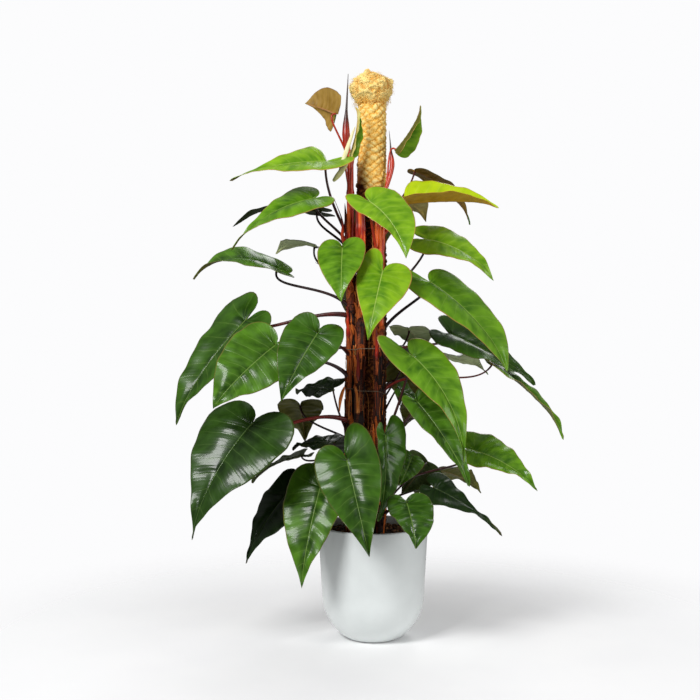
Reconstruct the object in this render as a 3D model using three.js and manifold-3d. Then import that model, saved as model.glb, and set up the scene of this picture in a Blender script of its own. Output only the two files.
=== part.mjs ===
// A climbing philodendron with red stalks, trained up a coir-wrapped pole in a white pot with a rounded foot.
// Millimetres, +Z up, -Y is the front. The origin is the middle of the pot's flat foot.
import * as THREE from 'three';
import { mergeVertices } from 'three/addons/utils/BufferGeometryUtils.js';
import Module from 'manifold-3d';

const wasm = await Module();
wasm.setup();

// Room left between neighbouring pieces
const gap = 0.3;

// Pot: outer radii and heights of a moulded shell with a closed floor
const pot = { rim: 137, shoulder: 127, foot: 62, height: 280, shoulderUp: 98, wall: 7, floor: 9, turns: 32 };

// Soil: its level at the wall, how far it mounds up round the stems, and its lumps
const soil = { level: 259, mound: 11, lump: 3 };

// Climbing pole: a wooden core, a plaited coir sleeve and the tuft that closes it
const pole = {
  x: -4, core: 20, coreFoot: 14, coreTop: 1365, sleeve: 36.6, relief: 3, sleeveFoot: 120, neck: 1328,
};
const plait = { around: 16, rise: 18 };
const tuft = { waist: 41, belly: 51, bellyUp: 1360, shoulder: 50, shoulderUp: 1375, top: 1412, lump: 4 };

// Climbing stems: the angle each stands at round the pole, where it starts in the soil and where it ends
const stemRadius = 12;
const stemOffset = pole.sleeve + pole.relief + gap + stemRadius + 2;
const internode = 80;
const stems = {
  left: { angle: 203, foot: 150, top: 1185 },
  front: { angle: 240, foot: 150, top: 1015 },
  right: { angle: 288, foot: 150, top: 1100 },
  back: { angle: 75, foot: 150, top: 1150 },
};

// Blades and their stalks
const bladeThickness = 1;
const ribDepth = 2.4;
const stalk = { tip: 2.9, foot: 4.2, sheath: 6.4, sides: 5, steps: 4 };

const rad = THREE.MathUtils.degToRad;
const vec = (p) => new THREE.Vector3(...p);
const up = new THREE.Vector3(0, 0, 1);

// Every leaf: the stem it grows from and the height it leaves at, its blade from the joint to the tip, the way
// the upper face looks, and its width. Pairs are for the left and right half, seen on the upper face, tip down.
// half widens a half, lobe lengthens its basal lobe, fold lifts it and curl turns it down again at the margin.
// flare lifts a basal lobe, waist pinches the blade below it and full rounds out the limb. arch bows the
// midrib out, bend bows it sideways, drip lets the tip hang and wave ripples the margin. rise tells how
// steeply the stalk leaves its stem.
const leaves = [
  // Crown
  { name: 'leaf_01', stem: 'left', from: 985, base: [-117, -62, 1180], tip: [-349, -112, 1135],
    faces: [0.1, -0.45, 0.9], width: 140, half: [1, 1.05], fold: [24, 14], lobe: [0.1, 1], flare: [0, 1],
    full: [-0.8, 0.8], arch: 0.04 },
  { name: 'leaf_02', stem: 'left', from: 970, base: [-148, -70, 1088], tip: [-345, -140, 965],
    faces: [-0.2, -0.5, 0.85], width: 135, half: [1.05, 1.05], fold: [20, 10], lobe: [0.5, 0.6],
    flare: [0.6, 0], full: [-0.3, 0.7], waist: [0.3, 0], arch: 0.09 },
  { name: 'leaf_03', stem: 'left', from: 955, base: [-140, 40, 1066], tip: [-358, 60, 1037],
    faces: [0, 0.1, 1], width: 130, lobe: 0.7, arch: 0.1 },
  { name: 'leaf_04', stem: 'left', from: 850, base: [-148, 90, 980], tip: [-257, 240, 975],
    faces: [0, 0.3, 0.95], width: 125, lobe: 0.5 },
  { name: 'leaf_05', stem: 'left', from: 880, base: [-76, -110, 964], tip: [-78, -205, 838],
    faces: [-0.1, -0.9, 0.4], width: 115, half: [1.05, 1], full: [1.6, 1] },
  { name: 'leaf_06', stem: 'front', from: 780, base: [20, -130, 906], tip: [-16, -225, 748],
    faces: [0, -0.9, 0.4], width: 140, half: [0.85, 1.05], lobe: [1.4, 0.7], full: [1.1, 0.8] },
  { name: 'leaf_07', stem: 'right', from: 930, base: [-10, -140, 1073], tip: [73, -230, 938],
    faces: [0.2, -0.9, 0.4], width: 145, half: [0.65, 1], lobe: [1, 0.9], full: [0.6, 1.8], bend: 0.06 },
  { name: 'leaf_08', stem: 'right', from: 985, base: [84, -45, 1078], tip: [306, -75, 1073],
    faces: [0, -0.25, 0.95], width: 140, half: [1, 1.25], fold: 36, curl: 14, lobe: [0.3, 0.2],
    full: [1.4, 1], arch: 0.03 },
  { name: 'leaf_09', stem: 'right', from: 1000, base: [108, 55, 1170], tip: [261, 125, 1044],
    faces: [0.3, 0.1, 0.9], width: 110, lobe: 0.15, arch: 0.1 },
  { name: 'leaf_10', stem: 'back', from: 1000, base: [83, 75, 1096], tip: [146, 190, 1055],
    faces: [0.2, 0.4, 0.9], width: 100, lobe: 0.5 },
  { name: 'leaf_11', stem: 'right', from: 1060, base: [57, -35, 1210], tip: [121, -40, 1318],
    faces: [0.8, -0.55, -0.3], width: 75, fold: 62, lobe: 0.3 },
  { name: 'leaf_12', stem: 'left', from: 1165, base: [-91, -25, 1300], tip: [-168, 60, 1341],
    faces: [0.5, 0.85, 0.1], width: 92, half: [1, 1.05], lobe: [0.1, 0], full: [0.2, 3], waist: [0, -0.5],
    arch: 0.08, rise: 0.95 },
  { name: 'leaf_13', stem: 'left', from: 1075, base: [-55, -60, 1199], tip: [-38, -66, 1311],
    faces: [0.9, -0.5, 0], width: 40, fold: 60, lobe: 0.4, rise: 0.8 },
  // Middle, right
  { name: 'leaf_14', stem: 'right', from: 790, base: [134, -20, 991], tip: [298, -60, 893],
    faces: [0.15, -0.5, 0.85], width: 130, fold: [4, 20], lobe: [0.7, 1], arch: 0.1, rise: 0.75 },
  { name: 'leaf_15', stem: 'right', from: 740, base: [142, -70, 882], tip: [322, -150, 674],
    faces: [0.35, -0.65, 0.6], width: 150, half: [0.95, 1], lobe: [1, 0.4], full: [1.4, 2], bend: 0.03,
    rise: 0.75 },
  { name: 'leaf_16', stem: 'right', from: 685, base: [198, 10, 755], tip: [408, -20, 636],
    faces: [0.2, -0.55, 0.8], width: 130, lobe: 0.8, arch: 0.03 },
  { name: 'leaf_17', stem: 'right', from: 600, base: [300, 10, 680], tip: [477, -40, 502],
    faces: [0.67, -0.2, 0.67], width: 100, fold: 20, lobe: 0.6 },
  { name: 'leaf_18', stem: 'back', from: 600, base: [176, 120, 696], tip: [313, 200, 650],
    faces: [0.2, 0.2, 0.9], width: 120, lobe: 0.7 },
  { name: 'leaf_19', stem: 'right', from: 470, base: [95, -125, 703], tip: [213, -195, 458],
    faces: [0.3, -0.9, 0.3], width: 130, half: [0.85, 1.05], lobe: [1.1, 0.6], full: [0.4, 0.5], bend: 0.08 },
  { name: 'leaf_20', stem: 'right', from: 455, base: [106, -90, 592], tip: [229, -165, 401],
    faces: [0.35, -0.85, 0.4], width: 130, half: [0.6, 1.1], lobe: 0.5, full: 0.9 },
  { name: 'leaf_21', stem: 'right', from: 350, base: [246, -40, 470], tip: [398, -100, 382],
    faces: [0.3, -0.7, 0.6], width: 115, half: [0.85, 1.15], lobe: [0.5, 1.3], full: 0.8, bend: 0.03 },
  // Foot, right
  { name: 'leaf_22', stem: 'right', from: 300, base: [150, -60, 379], tip: [315, -90, 271],
    faces: [0.3, -0.6, 0.74], width: 110, lobe: 0.6, full: [-0.3, -0.9] },
  { name: 'leaf_23', stem: 'back', from: 300, base: [170, 60, 408], tip: [287, 140, 343],
    faces: [0.2, 0.5, 0.8], width: 110, lobe: 0.5 },
  { name: 'leaf_24', stem: 'right', from: 300, base: [77, -162, 358], tip: [96, -232, 266],
    faces: [0.2, -0.9, 0.3], width: 112, half: [0.9, 1.1], full: [0.8, 1.9] },
  { name: 'leaf_25', stem: 'right', from: 330, base: [95, -40, 452], tip: [62, -75, 385],
    faces: [0.3, -0.9, 0.2], width: 70, lobe: 0.5 },
  { name: 'leaf_26', stem: 'right', from: 315, base: [135, 15, 431], tip: [70, -5, 355],
    faces: [0.3, 0.9, 0.2], width: 105, lobe: 0.4 },
  // Foot, front
  { name: 'leaf_27', stem: 'right', from: 330, base: [28, -118, 513], tip: [13, -158, 313],
    faces: [0.5, -0.8, 0.2], width: 95, half: [0.5, 1.2], lobe: [0.6, 1] },
  { name: 'leaf_28', stem: 'front', from: 320, base: [-65, -165, 459], tip: [-13, -245, 248],
    faces: [0, -0.95, 0.3], width: 160, half: [1, 0.95], lobe: [0.8, 1.5] },
  { name: 'leaf_29', stem: 'left', from: 300, base: [-129, -105, 388], tip: [-174, -185, 163],
    faces: [-0.25, -0.9, 0.35], width: 145, half: [1.15, 0.9], lobe: [0.9, 0.6] },
  { name: 'leaf_30', stem: 'left', from: 330, base: [-212, -20, 362], tip: [-315, -85, 202],
    faces: [-0.5, -0.75, 0.45], width: 145, half: [0.85, 1], lobe: [1.2, 0.7], full: [0.2, 1] },
  // Middle, left
  { name: 'leaf_31', stem: 'left', from: 537, base: [-295, -125, 540], tip: [-433, -200, 281],
    faces: [-0.35, -0.8, 0.5], width: 215, half: [1.08, 1.2], lobe: [0.6, 0.7], full: [0.5, 0.5],
    bend: -0.03, rise: 0.35 },
  { name: 'leaf_32', stem: 'left', from: 800, base: [-316, -45, 789], tip: [-485, -100, 541],
    faces: [-0.5, -0.75, 0.45], width: 175, half: [1.05, 0.95], lobe: [0.95, 0.6], full: [1.8, 0.8],
    waist: [0.45, 0], rise: 0.2 },
  { name: 'leaf_33', stem: 'left', from: 640, base: [-237, -140, 730], tip: [-378, -210, 589],
    faces: [-0.2, -0.9, 0.4], width: 155, half: [1.2, 1.1], lobe: 0.6, full: [1.7, 1.5] },
  { name: 'leaf_34', stem: 'left', from: 690, base: [-135, -165, 759], tip: [-218, -235, 605],
    faces: [-0.1, -0.9, 0.35], width: 140, half: [1.1, 0.95], lobe: 0.9, full: [1.2, 0.8] },
  { name: 'leaf_35', stem: 'left', from: 500, base: [-100, -45, 622], tip: [-197, 50, 609],
    faces: [-0.1, -0.4, 0.9], width: 110, lobe: 0.3 },
  { name: 'leaf_36', stem: 'back', from: 430, base: [-186, 90, 571], tip: [-177, 190, 470],
    faces: [0, 0.9, 0.3], width: 120 },
  { name: 'leaf_37', stem: 'left', from: 380, base: [-97, -55, 491], tip: [-205, 25, 468],
    faces: [0, -0.3, 1], width: 105, lobe: 0.15 },
  { name: 'leaf_38', stem: 'left', from: 430, base: [-180, 10, 452], tip: [-309, 30, 385],
    faces: [-0.3, 0.2, 0.9], width: 110, lobe: 0.7 },
  { name: 'leaf_39', stem: 'left', from: 815, base: [-238, 0, 918], tip: [-449, -20, 905],
    faces: [0, -0.1, 1], width: 140, half: [1.25, 0.8], fold: [28, 2], lobe: [0.7, 0.7], full: 1.2,
    arch: 0.15, drip: 0.06, wave: 6 },
  // Behind the pole, from the top down
  { name: 'leaf_40', stem: 'back', from: 640, base: [95, 90, 765], tip: [140, 200, 700],
    faces: [0.2, 0.5, 0.8], width: 115, lobe: 0.7 },
  { name: 'leaf_41', stem: 'back', from: 560, base: [72, 90, 672], tip: [120, 70, 560],
    faces: [-0.4, 0.8, 0.3], width: 105, lobe: 0.6 },
  { name: 'leaf_42', stem: 'right', from: 540, base: [60, -25, 622], tip: [150, 5, 548],
    faces: [0.3, -0.5, 0.8], width: 80, lobe: 0.2 },
  { name: 'leaf_43', stem: 'back', from: 480, base: [130, 112, 567], tip: [85, 182, 510],
    faces: [0, 0.4, 0.9], width: 110, lobe: 0.7 },
  { name: 'leaf_44', stem: 'back', from: 970, base: [5, 150, 1070], tip: [20, 330, 965],
    faces: [0.1, 0.5, 0.87], width: 140 },
  { name: 'leaf_45', stem: 'back', from: 780, base: [-8, 170, 870], tip: [-33, 360, 740],
    faces: [-0.1, 0.6, 0.8], width: 150 },
  { name: 'leaf_46', stem: 'back', from: 690, base: [-150, 140, 740], tip: [-330, 260, 620],
    faces: [-0.4, 0.4, 0.8], width: 140 },
  { name: 'leaf_47', stem: 'back', from: 590, base: [50, 180, 705], tip: [85, 375, 555],
    faces: [0.2, 0.65, 0.7], width: 160 },
  { name: 'leaf_48', stem: 'back', from: 380, base: [-50, 140, 465], tip: [-85, 320, 315],
    faces: [-0.1, 0.7, 0.7], width: 155 },
  { name: 'leaf_49', stem: 'back', from: 350, base: [85, 160, 425], tip: [130, 330, 300],
    faces: [0.3, 0.65, 0.7], width: 150 },
  { name: 'leaf_50', stem: 'left', from: 360, base: [-130, 120, 405], tip: [-215, 265, 275],
    faces: [-0.4, 0.6, 0.7], width: 140 },
];

// Outline of half a blade lying flat, in shares of its length: sinus, basal lobe, widest point, tip
const widest = { along: 0.06, out: 0.34 };
const lobeSteps = 4;
const limbSteps = 5;
const stations = lobeSteps + limbSteps;
function outline(lobe, full, waist) {
  const bay = new THREE.CubicBezierCurve(
    new THREE.Vector2(0, 0),
    new THREE.Vector2(-0.36 * lobe, 0.01),
    new THREE.Vector2(-0.37 * lobe, 0.34),
    new THREE.Vector2(widest.along, widest.out),
  );
  const limb = new THREE.CubicBezierCurve(
    new THREE.Vector2(widest.along, widest.out),
    new THREE.Vector2(0.3 + 0.12 * full, widest.out * (1 - waist)),
    new THREE.Vector2(0.6 + 0.1 * full, 0.02 + 0.09 * full),
    new THREE.Vector2(1, 0),
  );
  return { bay, limb };
}

// Where a cross vein starts on the midrib and where it meets the margin
function vein(leaf, i, side) {
  const { lobe = 0.8, full = 1, waist = 0 } = leaf;
  const { bay, limb } = outline(ofHalf(lobe, side), ofHalf(full, side), ofHalf(waist, side));
  if (i <= lobeSteps) {
    return { start: 0, end: bay.getPoint(i / lobeSteps) };
  }
  const u = (i - lobeSteps) / limbSteps;
  const end = limb.getPoint(u);
  return { start: end.x - (0.06 + 0.3 * u) * (1 - u), end };
}

// Directions of a blade: along its chord, across it to the right, and out of its upper face
function bladeFrame(leaf) {
  const base = vec(leaf.base);
  const chord = vec(leaf.tip).sub(base);
  const length = chord.length();
  const along = chord.normalize();
  const face = vec(leaf.faces);
  face.addScaledVector(along, -face.dot(along)).normalize();
  const across = new THREE.Vector3().crossVectors(face, along);
  const rise = 4 * (leaf.arch ?? 0.06);
  const jointNormal = face.clone().addScaledVector(along, -rise).normalize();
  return { base, length, along, face, across, jointNormal };
}

// One value for both halves, or a pair of them
function ofHalf(value, side) {
  return Array.isArray(value) ? value[side < 0 ? 0 : 1] : value;
}

// A point of the upper face: a along the midrib and b across, in shares of the length, on side -1 or 1
function bladePoint(leaf, frame, a, b, side, share) {
  const { arch = 0.06, bend = 0, drip = 0.04, wave = 3 } = leaf;
  const raised = ofHalf(leaf.flare ?? 0, side) * Math.min(0, a) ** 2;
  const fold = rad(ofHalf(leaf.fold ?? 12, side));
  const curl = rad(ofHalf(leaf.curl ?? 22, side)) / widest.out + 1e-6;
  const wide = ofHalf(leaf.half ?? 1, side) * leaf.width / (2 * widest.out * frame.length);
  const bow = a > 0 ? 4 * a * (1 - a) : 4 * a;
  const nod = drip * Math.max(0, (a - 0.7) / 0.3) ** 2;
  const out = (Math.sin(fold) - Math.sin(fold - curl * b)) / curl;
  const lifted = (Math.cos(fold - curl * b) - Math.cos(fold)) / curl;
  const ripple = wave * share * share * Math.sin(7 * a + 2.1 * side);
  return frame.base.clone()
    .addScaledVector(frame.along, a * frame.length)
    .addScaledVector(frame.face, (arch * bow - nod + raised) * frame.length)
    .addScaledVector(frame.across, (bend * bow + side * out * wide) * frame.length)
    .addScaledVector(frame.face, lifted * wide * frame.length + ripple);
}

function meshOf(position, index) {
  const geometry = new THREE.BufferGeometry();
  geometry.setAttribute('position', new THREE.Float32BufferAttribute(position, 3));
  geometry.setIndex(index);
  return geometry;
}

// A closed blade: its upper and lower face are split into the same triangles and joined round the margin
function bladeGeometry(leaf) {
  const frame = bladeFrame(leaf);
  const points = [];
  const indexOf = new Map();
  const ribShare = [];
  const levels = [0, 0.5, 1];
  function vertex(i, level, side) {
    const { start, end } = vein(leaf, i, side);
    const atJoint = i === 0 || (i <= lobeSteps && level === 0);
    const inside = level === 0 ? `rib_${i}` : `${side}_${i}_${level}`;
    const key = atJoint ? 'joint' : i === stations ? 'tip' : inside;
    if (!indexOf.has(key)) {
      const share = levels[level];
      const a = atJoint ? 0 : THREE.MathUtils.lerp(start, end.x, share);
      const b = atJoint ? 0 : end.y * share;
      indexOf.set(key, points.length);
      points.push(bladePoint(leaf, frame, a, b, side, share));
      ribShare.push(atJoint || level === 0 ? 1 - Math.max(0, a) : 0);
    }
    return indexOf.get(key);
  }
  const faces = [];
  const margin = [];
  for (const side of [-1, 1]) {
    const add = (p, q, r) => {
      if (p !== q && q !== r && p !== r) {
        faces.push(side > 0 ? [p, q, r] : [p, r, q]);
      }
    };
    for (let i = 0; i < stations; i += 1) {
      for (let level = 0; level < levels.length - 1; level += 1) {
        const p = vertex(i, level, side);
        const q = vertex(i + 1, level, side);
        const r = vertex(i + 1, level + 1, side);
        const s = vertex(i, level + 1, side);
        add(p, q, r);
        add(p, r, s);
      }
      const edge = [vertex(i, levels.length - 1, side), vertex(i + 1, levels.length - 1, side)];
      margin.push(side > 0 ? edge.reverse() : edge);
    }
  }
  const normals = points.map(() => new THREE.Vector3());
  for (const [p, q, r] of faces) {
    const normal = new THREE.Vector3().crossVectors(
      points[q].clone().sub(points[p]),
      points[r].clone().sub(points[p]),
    );
    [p, q, r].forEach((v) => normals[v].add(normal));
  }
  normals[indexOf.get('joint')].copy(frame.jointNormal);
  const count = points.length;
  const lower = points.map((point, v) => {
    const depth = bladeThickness + ribDepth * ribShare[v];
    return point.clone().addScaledVector(normals[v].normalize(), -depth);
  });
  const index = [];
  for (const [p, q, r] of faces) {
    index.push(p, q, r, p + count, r + count, q + count);
  }
  for (const [p, q] of margin) {
    index.push(p, p + count, q + count, p, q + count, q);
  }
  return meshOf([...points, ...lower].flatMap((p) => p.toArray()), index);
}

// A closed round bar along a curve, with its radius given along the way
function barGeometry(curve, radiusAt, sides, steps) {
  const frames = curve.computeFrenetFrames(steps, false);
  const position = [];
  const index = [];
  for (let i = 0; i <= steps; i += 1) {
    const centre = curve.getPointAt(i / steps);
    for (let k = 0; k < sides; k += 1) {
      const angle = (2 * Math.PI * k) / sides;
      const point = centre.clone()
        .addScaledVector(frames.normals[i], radiusAt(i / steps) * Math.cos(angle))
        .addScaledVector(frames.binormals[i], radiusAt(i / steps) * Math.sin(angle));
      position.push(...point.toArray());
    }
  }
  for (let i = 0; i < steps; i += 1) {
    for (let k = 0; k < sides; k += 1) {
      const p = i * sides + k;
      const q = i * sides + ((k + 1) % sides);
      index.push(p, q, q + sides, p, q + sides, p + sides);
    }
  }
  const last = steps * sides;
  for (let k = 1; k < sides - 1; k += 1) {
    index.push(0, k + 1, k, last, last + k, last + k + 1);
  }
  return meshOf(position, index);
}

// Solids for cutting and joining
function solidOf(geometry) {
  const bare = new THREE.BufferGeometry();
  const source = geometry.index ? geometry.toNonIndexed() : geometry;
  bare.setAttribute('position', source.getAttribute('position').clone());
  const merged = mergeVertices(bare, 1e-4);
  return new wasm.Manifold(new wasm.Mesh({
    numProp: 3,
    vertProperties: new Float32Array(merged.attributes.position.array),
    triVerts: new Uint32Array(merged.index.array),
  }));
}

function geometryOf(solid) {
  const mesh = solid.getMesh();
  const position = [];
  for (let i = 0; i < mesh.numVert; i += 1) {
    position.push(...mesh.vertProperties.subarray(i * mesh.numProp, i * mesh.numProp + 3));
  }
  return meshOf(position, Array.from(mesh.triVerts));
}

// Middle of a stem at a height: it strays a little round the pole as it climbs
function stemCentre(name, z) {
  const { angle } = stems[name];
  const reach = stemOffset + 1.5 * (1 + Math.sin(z / 90 + angle));
  const turn = rad(angle + 2 * Math.sin(z / 140 + angle));
  return new THREE.Vector3(pole.x + reach * Math.cos(turn), reach * Math.sin(turn), z);
}

// The stalk of a leaf, from the middle of its stem to just under the blade's joint
function stalkCurve(leaf) {
  const frame = bladeFrame(leaf);
  const start = stemCentre(leaf.stem, leaf.from);
  const end = frame.base.clone().addScaledVector(frame.jointNormal, -(bladeThickness + ribDepth + gap));
  const span = end.distanceTo(start);
  const outward = new THREE.Vector3(end.x - start.x, end.y - start.y, 0).normalize();
  const rise = leaf.rise ?? 0.6;
  const leave = outward.clone().multiplyScalar(1 - rise).addScaledVector(up, rise).normalize();
  return new THREE.CubicBezierCurve3(
    start,
    start.clone().addScaledVector(leave, 0.4 * span),
    end.clone().addScaledVector(frame.jointNormal, -0.3 * span),
    end,
  );
}

function stalkRadius(leaf) {
  const full = THREE.MathUtils.clamp(leaf.width / 150, 0.7, 1.15);
  return (t) => {
    const plain = THREE.MathUtils.lerp(stalk.foot, stalk.tip, t);
    const sheath = (stalk.sheath - stalk.foot) * Math.max(0, 1 - t / 0.25);
    return full * (plain + sheath);
  };
}

// Pointed sheaths of new leaves: the stem, points along each from the height it leaves at, and its thickest part
const spears = [
  { stem: 'left', from: 1150, way: [[-66, -24, 1230], [-67, -22, 1290], [-62, -20, 1401]],
    radius: 10, fattest: 0.45 },
  { stem: 'right', from: 1060, way: [[45, -30, 1160], [44, -20, 1210], [40, -10, 1262]],
    radius: 6, fattest: 0.4 },
  { stem: 'left', from: 960, way: [[-75, -60, 990], [-76, -84, 1030], [-95, -98, 1082]],
    radius: 5, fattest: 0.3 },
  { stem: 'left', from: 860, way: [[-85, -70, 890], [-110, -85, 912], [-142, -95, 930]],
    radius: 4, fattest: 0.3 },
];

function spearSolid(spear) {
  const curve = new THREE.CatmullRomCurve3([stemCentre(spear.stem, spear.from), ...spear.way.map(vec)]);
  const radiusAt = (t) => {
    const before = THREE.MathUtils.lerp(0.6, 1, t / spear.fattest);
    const after = 1 - 0.93 * (t - spear.fattest) / (1 - spear.fattest);
    return spear.radius * (t < spear.fattest ? before : after);
  };
  return solidOf(barGeometry(curve, radiusAt, 6, 8));
}

function stemSolid(name) {
  const { foot, top } = stems[name];
  const joints = Math.round((top - foot) / internode);
  const heights = Array.from({ length: joints + 1 }, (_, i) => foot + (i * (top - foot)) / joints);
  const line = heights.map((z) => stemCentre(name, z));
  const radiusAt = (t) => {
    const knot = Math.round(2 * t * joints) % 2 === 0 ? 1.6 : 0;
    return stemRadius + knot - 4 * Math.max(0, t - 0.7) / 0.3;
  };
  const parts = [solidOf(barGeometry(new THREE.CatmullRomCurve3(line), radiusAt, 7, 2 * joints))];
  for (const leaf of leaves.filter((each) => each.stem === name)) {
    parts.push(solidOf(barGeometry(stalkCurve(leaf), stalkRadius(leaf), stalk.sides, stalk.steps)));
  }
  for (const spear of spears.filter((each) => each.stem === name)) {
    parts.push(spearSolid(spear));
  }
  return wasm.Manifold.union(parts);
}

// Turned shapes: the profile runs from the axis round the outside and back to the axis
function turned(profile, segments) {
  const geometry = new THREE.LatheGeometry(profile.map(([r, z]) => new THREE.Vector2(r, z)), segments);
  geometry.rotateX(Math.PI / 2);
  return geometry;
}

const potSide = new THREE.CubicBezierCurve(
  new THREE.Vector2(pot.foot, 0),
  new THREE.Vector2(pot.foot + 8, 0),
  new THREE.Vector2(pot.shoulder - 4, pot.shoulderUp - 61),
  new THREE.Vector2(pot.shoulder, pot.shoulderUp),
).getPoints(5).map((p) => [p.x, p.y]);
const potWell = potSide.slice().reverse()
  .map(([r, z]) => [r - pot.wall, z + pot.floor * (1 - z / pot.shoulderUp)]);

function potGeometry() {
  return turned([
    [0, 0],
    ...potSide,
    [pot.rim, pot.height - 2],
    [pot.rim - 1.5, pot.height],
    [pot.rim - pot.wall + 1, pot.height],
    [pot.rim - pot.wall, pot.height - 2],
    ...potWell,
    [0, pot.floor],
  ], pot.turns);
}

// Soil fills the pot and mounds up towards the stems; its open surface is lumpy
function soilSolid() {
  const wellTop = pot.rim - pot.wall;
  const wellLow = pot.shoulder - pot.wall;
  const wallShare = (soil.level - pot.shoulderUp) / (pot.height - 2 - pot.shoulderUp);
  const brim = THREE.MathUtils.lerp(wellLow, wellTop, wallShare) - 2 * gap;
  const rings = [105, 84, 62, 42, 22];
  const body = turned([
    [0, pot.floor + gap],
    ...potWell.slice().reverse().map(([r, z]) => [r - 2 * gap, z + gap]),
    [brim, soil.level],
    ...rings.map((r) => [r, soil.level + soil.mound * (1 - r / 120)]),
    [0, soil.level + soil.mound],
  ], pot.turns);
  const at = body.getAttribute('position');
  for (let i = 0; i < at.count; i += 1) {
    const [x, y, z] = [at.getX(i), at.getY(i), at.getZ(i)];
    const open = z > soil.level + 0.5 ? 1 : 0;
    const lump = Math.sin(x / 9 + y / 23) + Math.sin(y / 8 - x / 31) + Math.sin((x + y) / 5.5);
    at.setZ(i, z + open * soil.lump * lump / 3);
  }
  const post = (radius, from, to) => {
    const shape = new THREE.CylinderGeometry(radius, radius, to - from, 16);
    shape.rotateX(Math.PI / 2);
    shape.translate(pole.x, 0, (from + to) / 2);
    return solidOf(shape);
  };
  const holes = [
    post(pole.core + gap, pole.coreFoot - gap, 400),
    post(pole.sleeve + pole.relief + 1.2, pole.sleeveFoot - gap, 400),
  ];
  for (const name of Object.keys(stems)) {
    const foot = stemCentre(name, stems[name].foot);
    const line = [204, 258, 312].map((z) => stemCentre(name, z));
    const path = new THREE.CatmullRomCurve3([foot.clone().setZ(foot.z - gap), foot, ...line]);
    holes.push(solidOf(barGeometry(path, () => stemRadius + 3.4, 8, 4)));
  }
  return wasm.Manifold.difference([solidOf(body), ...holes]);
}

// Plaited sleeve: every other crossing of its grid stands proud, half a plait on from the row below
function sleeveGeometry() {
  const rows = Math.round((pole.neck - pole.sleeveFoot) / plait.rise);
  const position = [];
  const index = [];
  const ring = (radiusAt, z) => {
    for (let k = 0; k < plait.around; k += 1) {
      const angle = (2 * Math.PI * k) / plait.around;
      position.push(pole.x + radiusAt(k) * Math.cos(angle), radiusAt(k) * Math.sin(angle), z);
    }
  };
  const band = (from, to, turns) => {
    for (let k = 0; k < plait.around; k += 1) {
      const next = (k + 1) % plait.around;
      const [p, q, r, s] = [from + k, from + next, to + next, to + k];
      if (turns(k)) {
        index.push(p, q, s, q, r, s);
      } else {
        index.push(p, q, r, p, r, s);
      }
    }
  };
  for (let row = 0; row <= rows; row += 1) {
    const z = THREE.MathUtils.lerp(pole.sleeveFoot, pole.neck, row / rows);
    const end = row === 0 || row === rows;
    ring((k) => pole.sleeve + (end || (k + row) % 2 ? 0 : pole.relief), z);
  }
  for (let row = 0; row < rows; row += 1) {
    band(row * plait.around, (row + 1) * plait.around, (k) => (k + row) % 2 === 1);
  }
  const innerTop = (rows + 1) * plait.around;
  ring(() => pole.core + gap, pole.neck);
  ring(() => pole.core + gap, pole.sleeveFoot);
  band(rows * plait.around, innerTop, () => false);
  band(innerTop, innerTop + plait.around, () => false);
  band(innerTop + plait.around, 0, () => false);
  return meshOf(position, index);
}

// Loose fibre gathered over the end of the pole, lumpy and open underneath for the core
function tuftSolid() {
  const foot = pole.neck + gap;
  const body = turned([
    [0, foot],
    [tuft.waist - 4, foot],
    [tuft.waist, foot + 6],
    [tuft.belly - 4, tuft.bellyUp - 14],
    [tuft.belly, tuft.bellyUp],
    [tuft.shoulder, tuft.shoulderUp],
    [tuft.shoulder - 14, tuft.shoulderUp + 12],
    [tuft.shoulder - 32, tuft.shoulderUp + 25],
    [0, tuft.top],
  ], 18);
  const at = body.getAttribute('position');
  for (let i = 0; i < at.count; i += 1) {
    const [x, y, z] = [at.getX(i), at.getY(i), at.getZ(i)];
    const share = Math.min(1, (z - foot) / 30);
    const lump = tuft.lump * share * (Math.sin(x / 7 + z / 11) + Math.sin(y / 8 - z / 9)) / 2;
    at.setXYZ(i, x * (1 + lump / 50), y * (1 + lump / 50), z + (z > tuft.shoulderUp ? lump : 0));
  }
  body.translate(pole.x, 0, 0);
  const depth = pole.coreTop + gap - (foot - 10);
  const bore = new THREE.CylinderGeometry(pole.core + gap, pole.core + gap, depth, 16);
  bore.rotateX(Math.PI / 2);
  bore.translate(pole.x, 0, foot - 10 + depth / 2);
  return solidOf(body).subtract(solidOf(bore));
}

// Colours
const paint = (color, roughness) => new THREE.MeshStandardMaterial({ color, roughness, metalness: 0 });
const potWhite = paint('#dfe5e6', 0.3);
const earth = paint('#2a1c14', 0.95);
const timber = paint('#b89a6a', 0.8);
const coir = paint('#d9a959', 0.9);
const redStem = paint('#8a3016', 0.5);
const youngGreen = paint('#7fae1f', 0.35);
const midGreen = paint('#4a8624', 0.33);
const oldGreen = paint('#27491c', 0.28);

const plant = new THREE.Group();
function place(name, geometry, material) {
  const mesh = new THREE.Mesh(geometry, material);
  mesh.name = name;
  plant.add(mesh);
}

place('pot', potGeometry(), potWhite);
place('soil', geometryOf(soilSolid()), earth);

const core = new THREE.CylinderGeometry(pole.core, pole.core, pole.coreTop - pole.coreFoot, 16);
core.rotateX(Math.PI / 2);
core.translate(pole.x, 0, (pole.coreTop + pole.coreFoot) / 2);
place('pole_core', core, timber);
place('coir_sleeve', sleeveGeometry(), coir);
place('coir_tuft', geometryOf(tuftSolid()), coir);

for (const name of Object.keys(stems)) {
  place(`stem_${name}`, geometryOf(stemSolid(name)), redStem);
}
for (const leaf of leaves) {
  const age = leaf.base[2] > 930 ? youngGreen : leaf.base[2] > 620 ? midGreen : oldGreen;
  place(leaf.name, bladeGeometry(leaf), age);
}

export default plant;
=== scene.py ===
import math
import random

import bpy
import numpy as np
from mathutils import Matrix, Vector, noise


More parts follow.
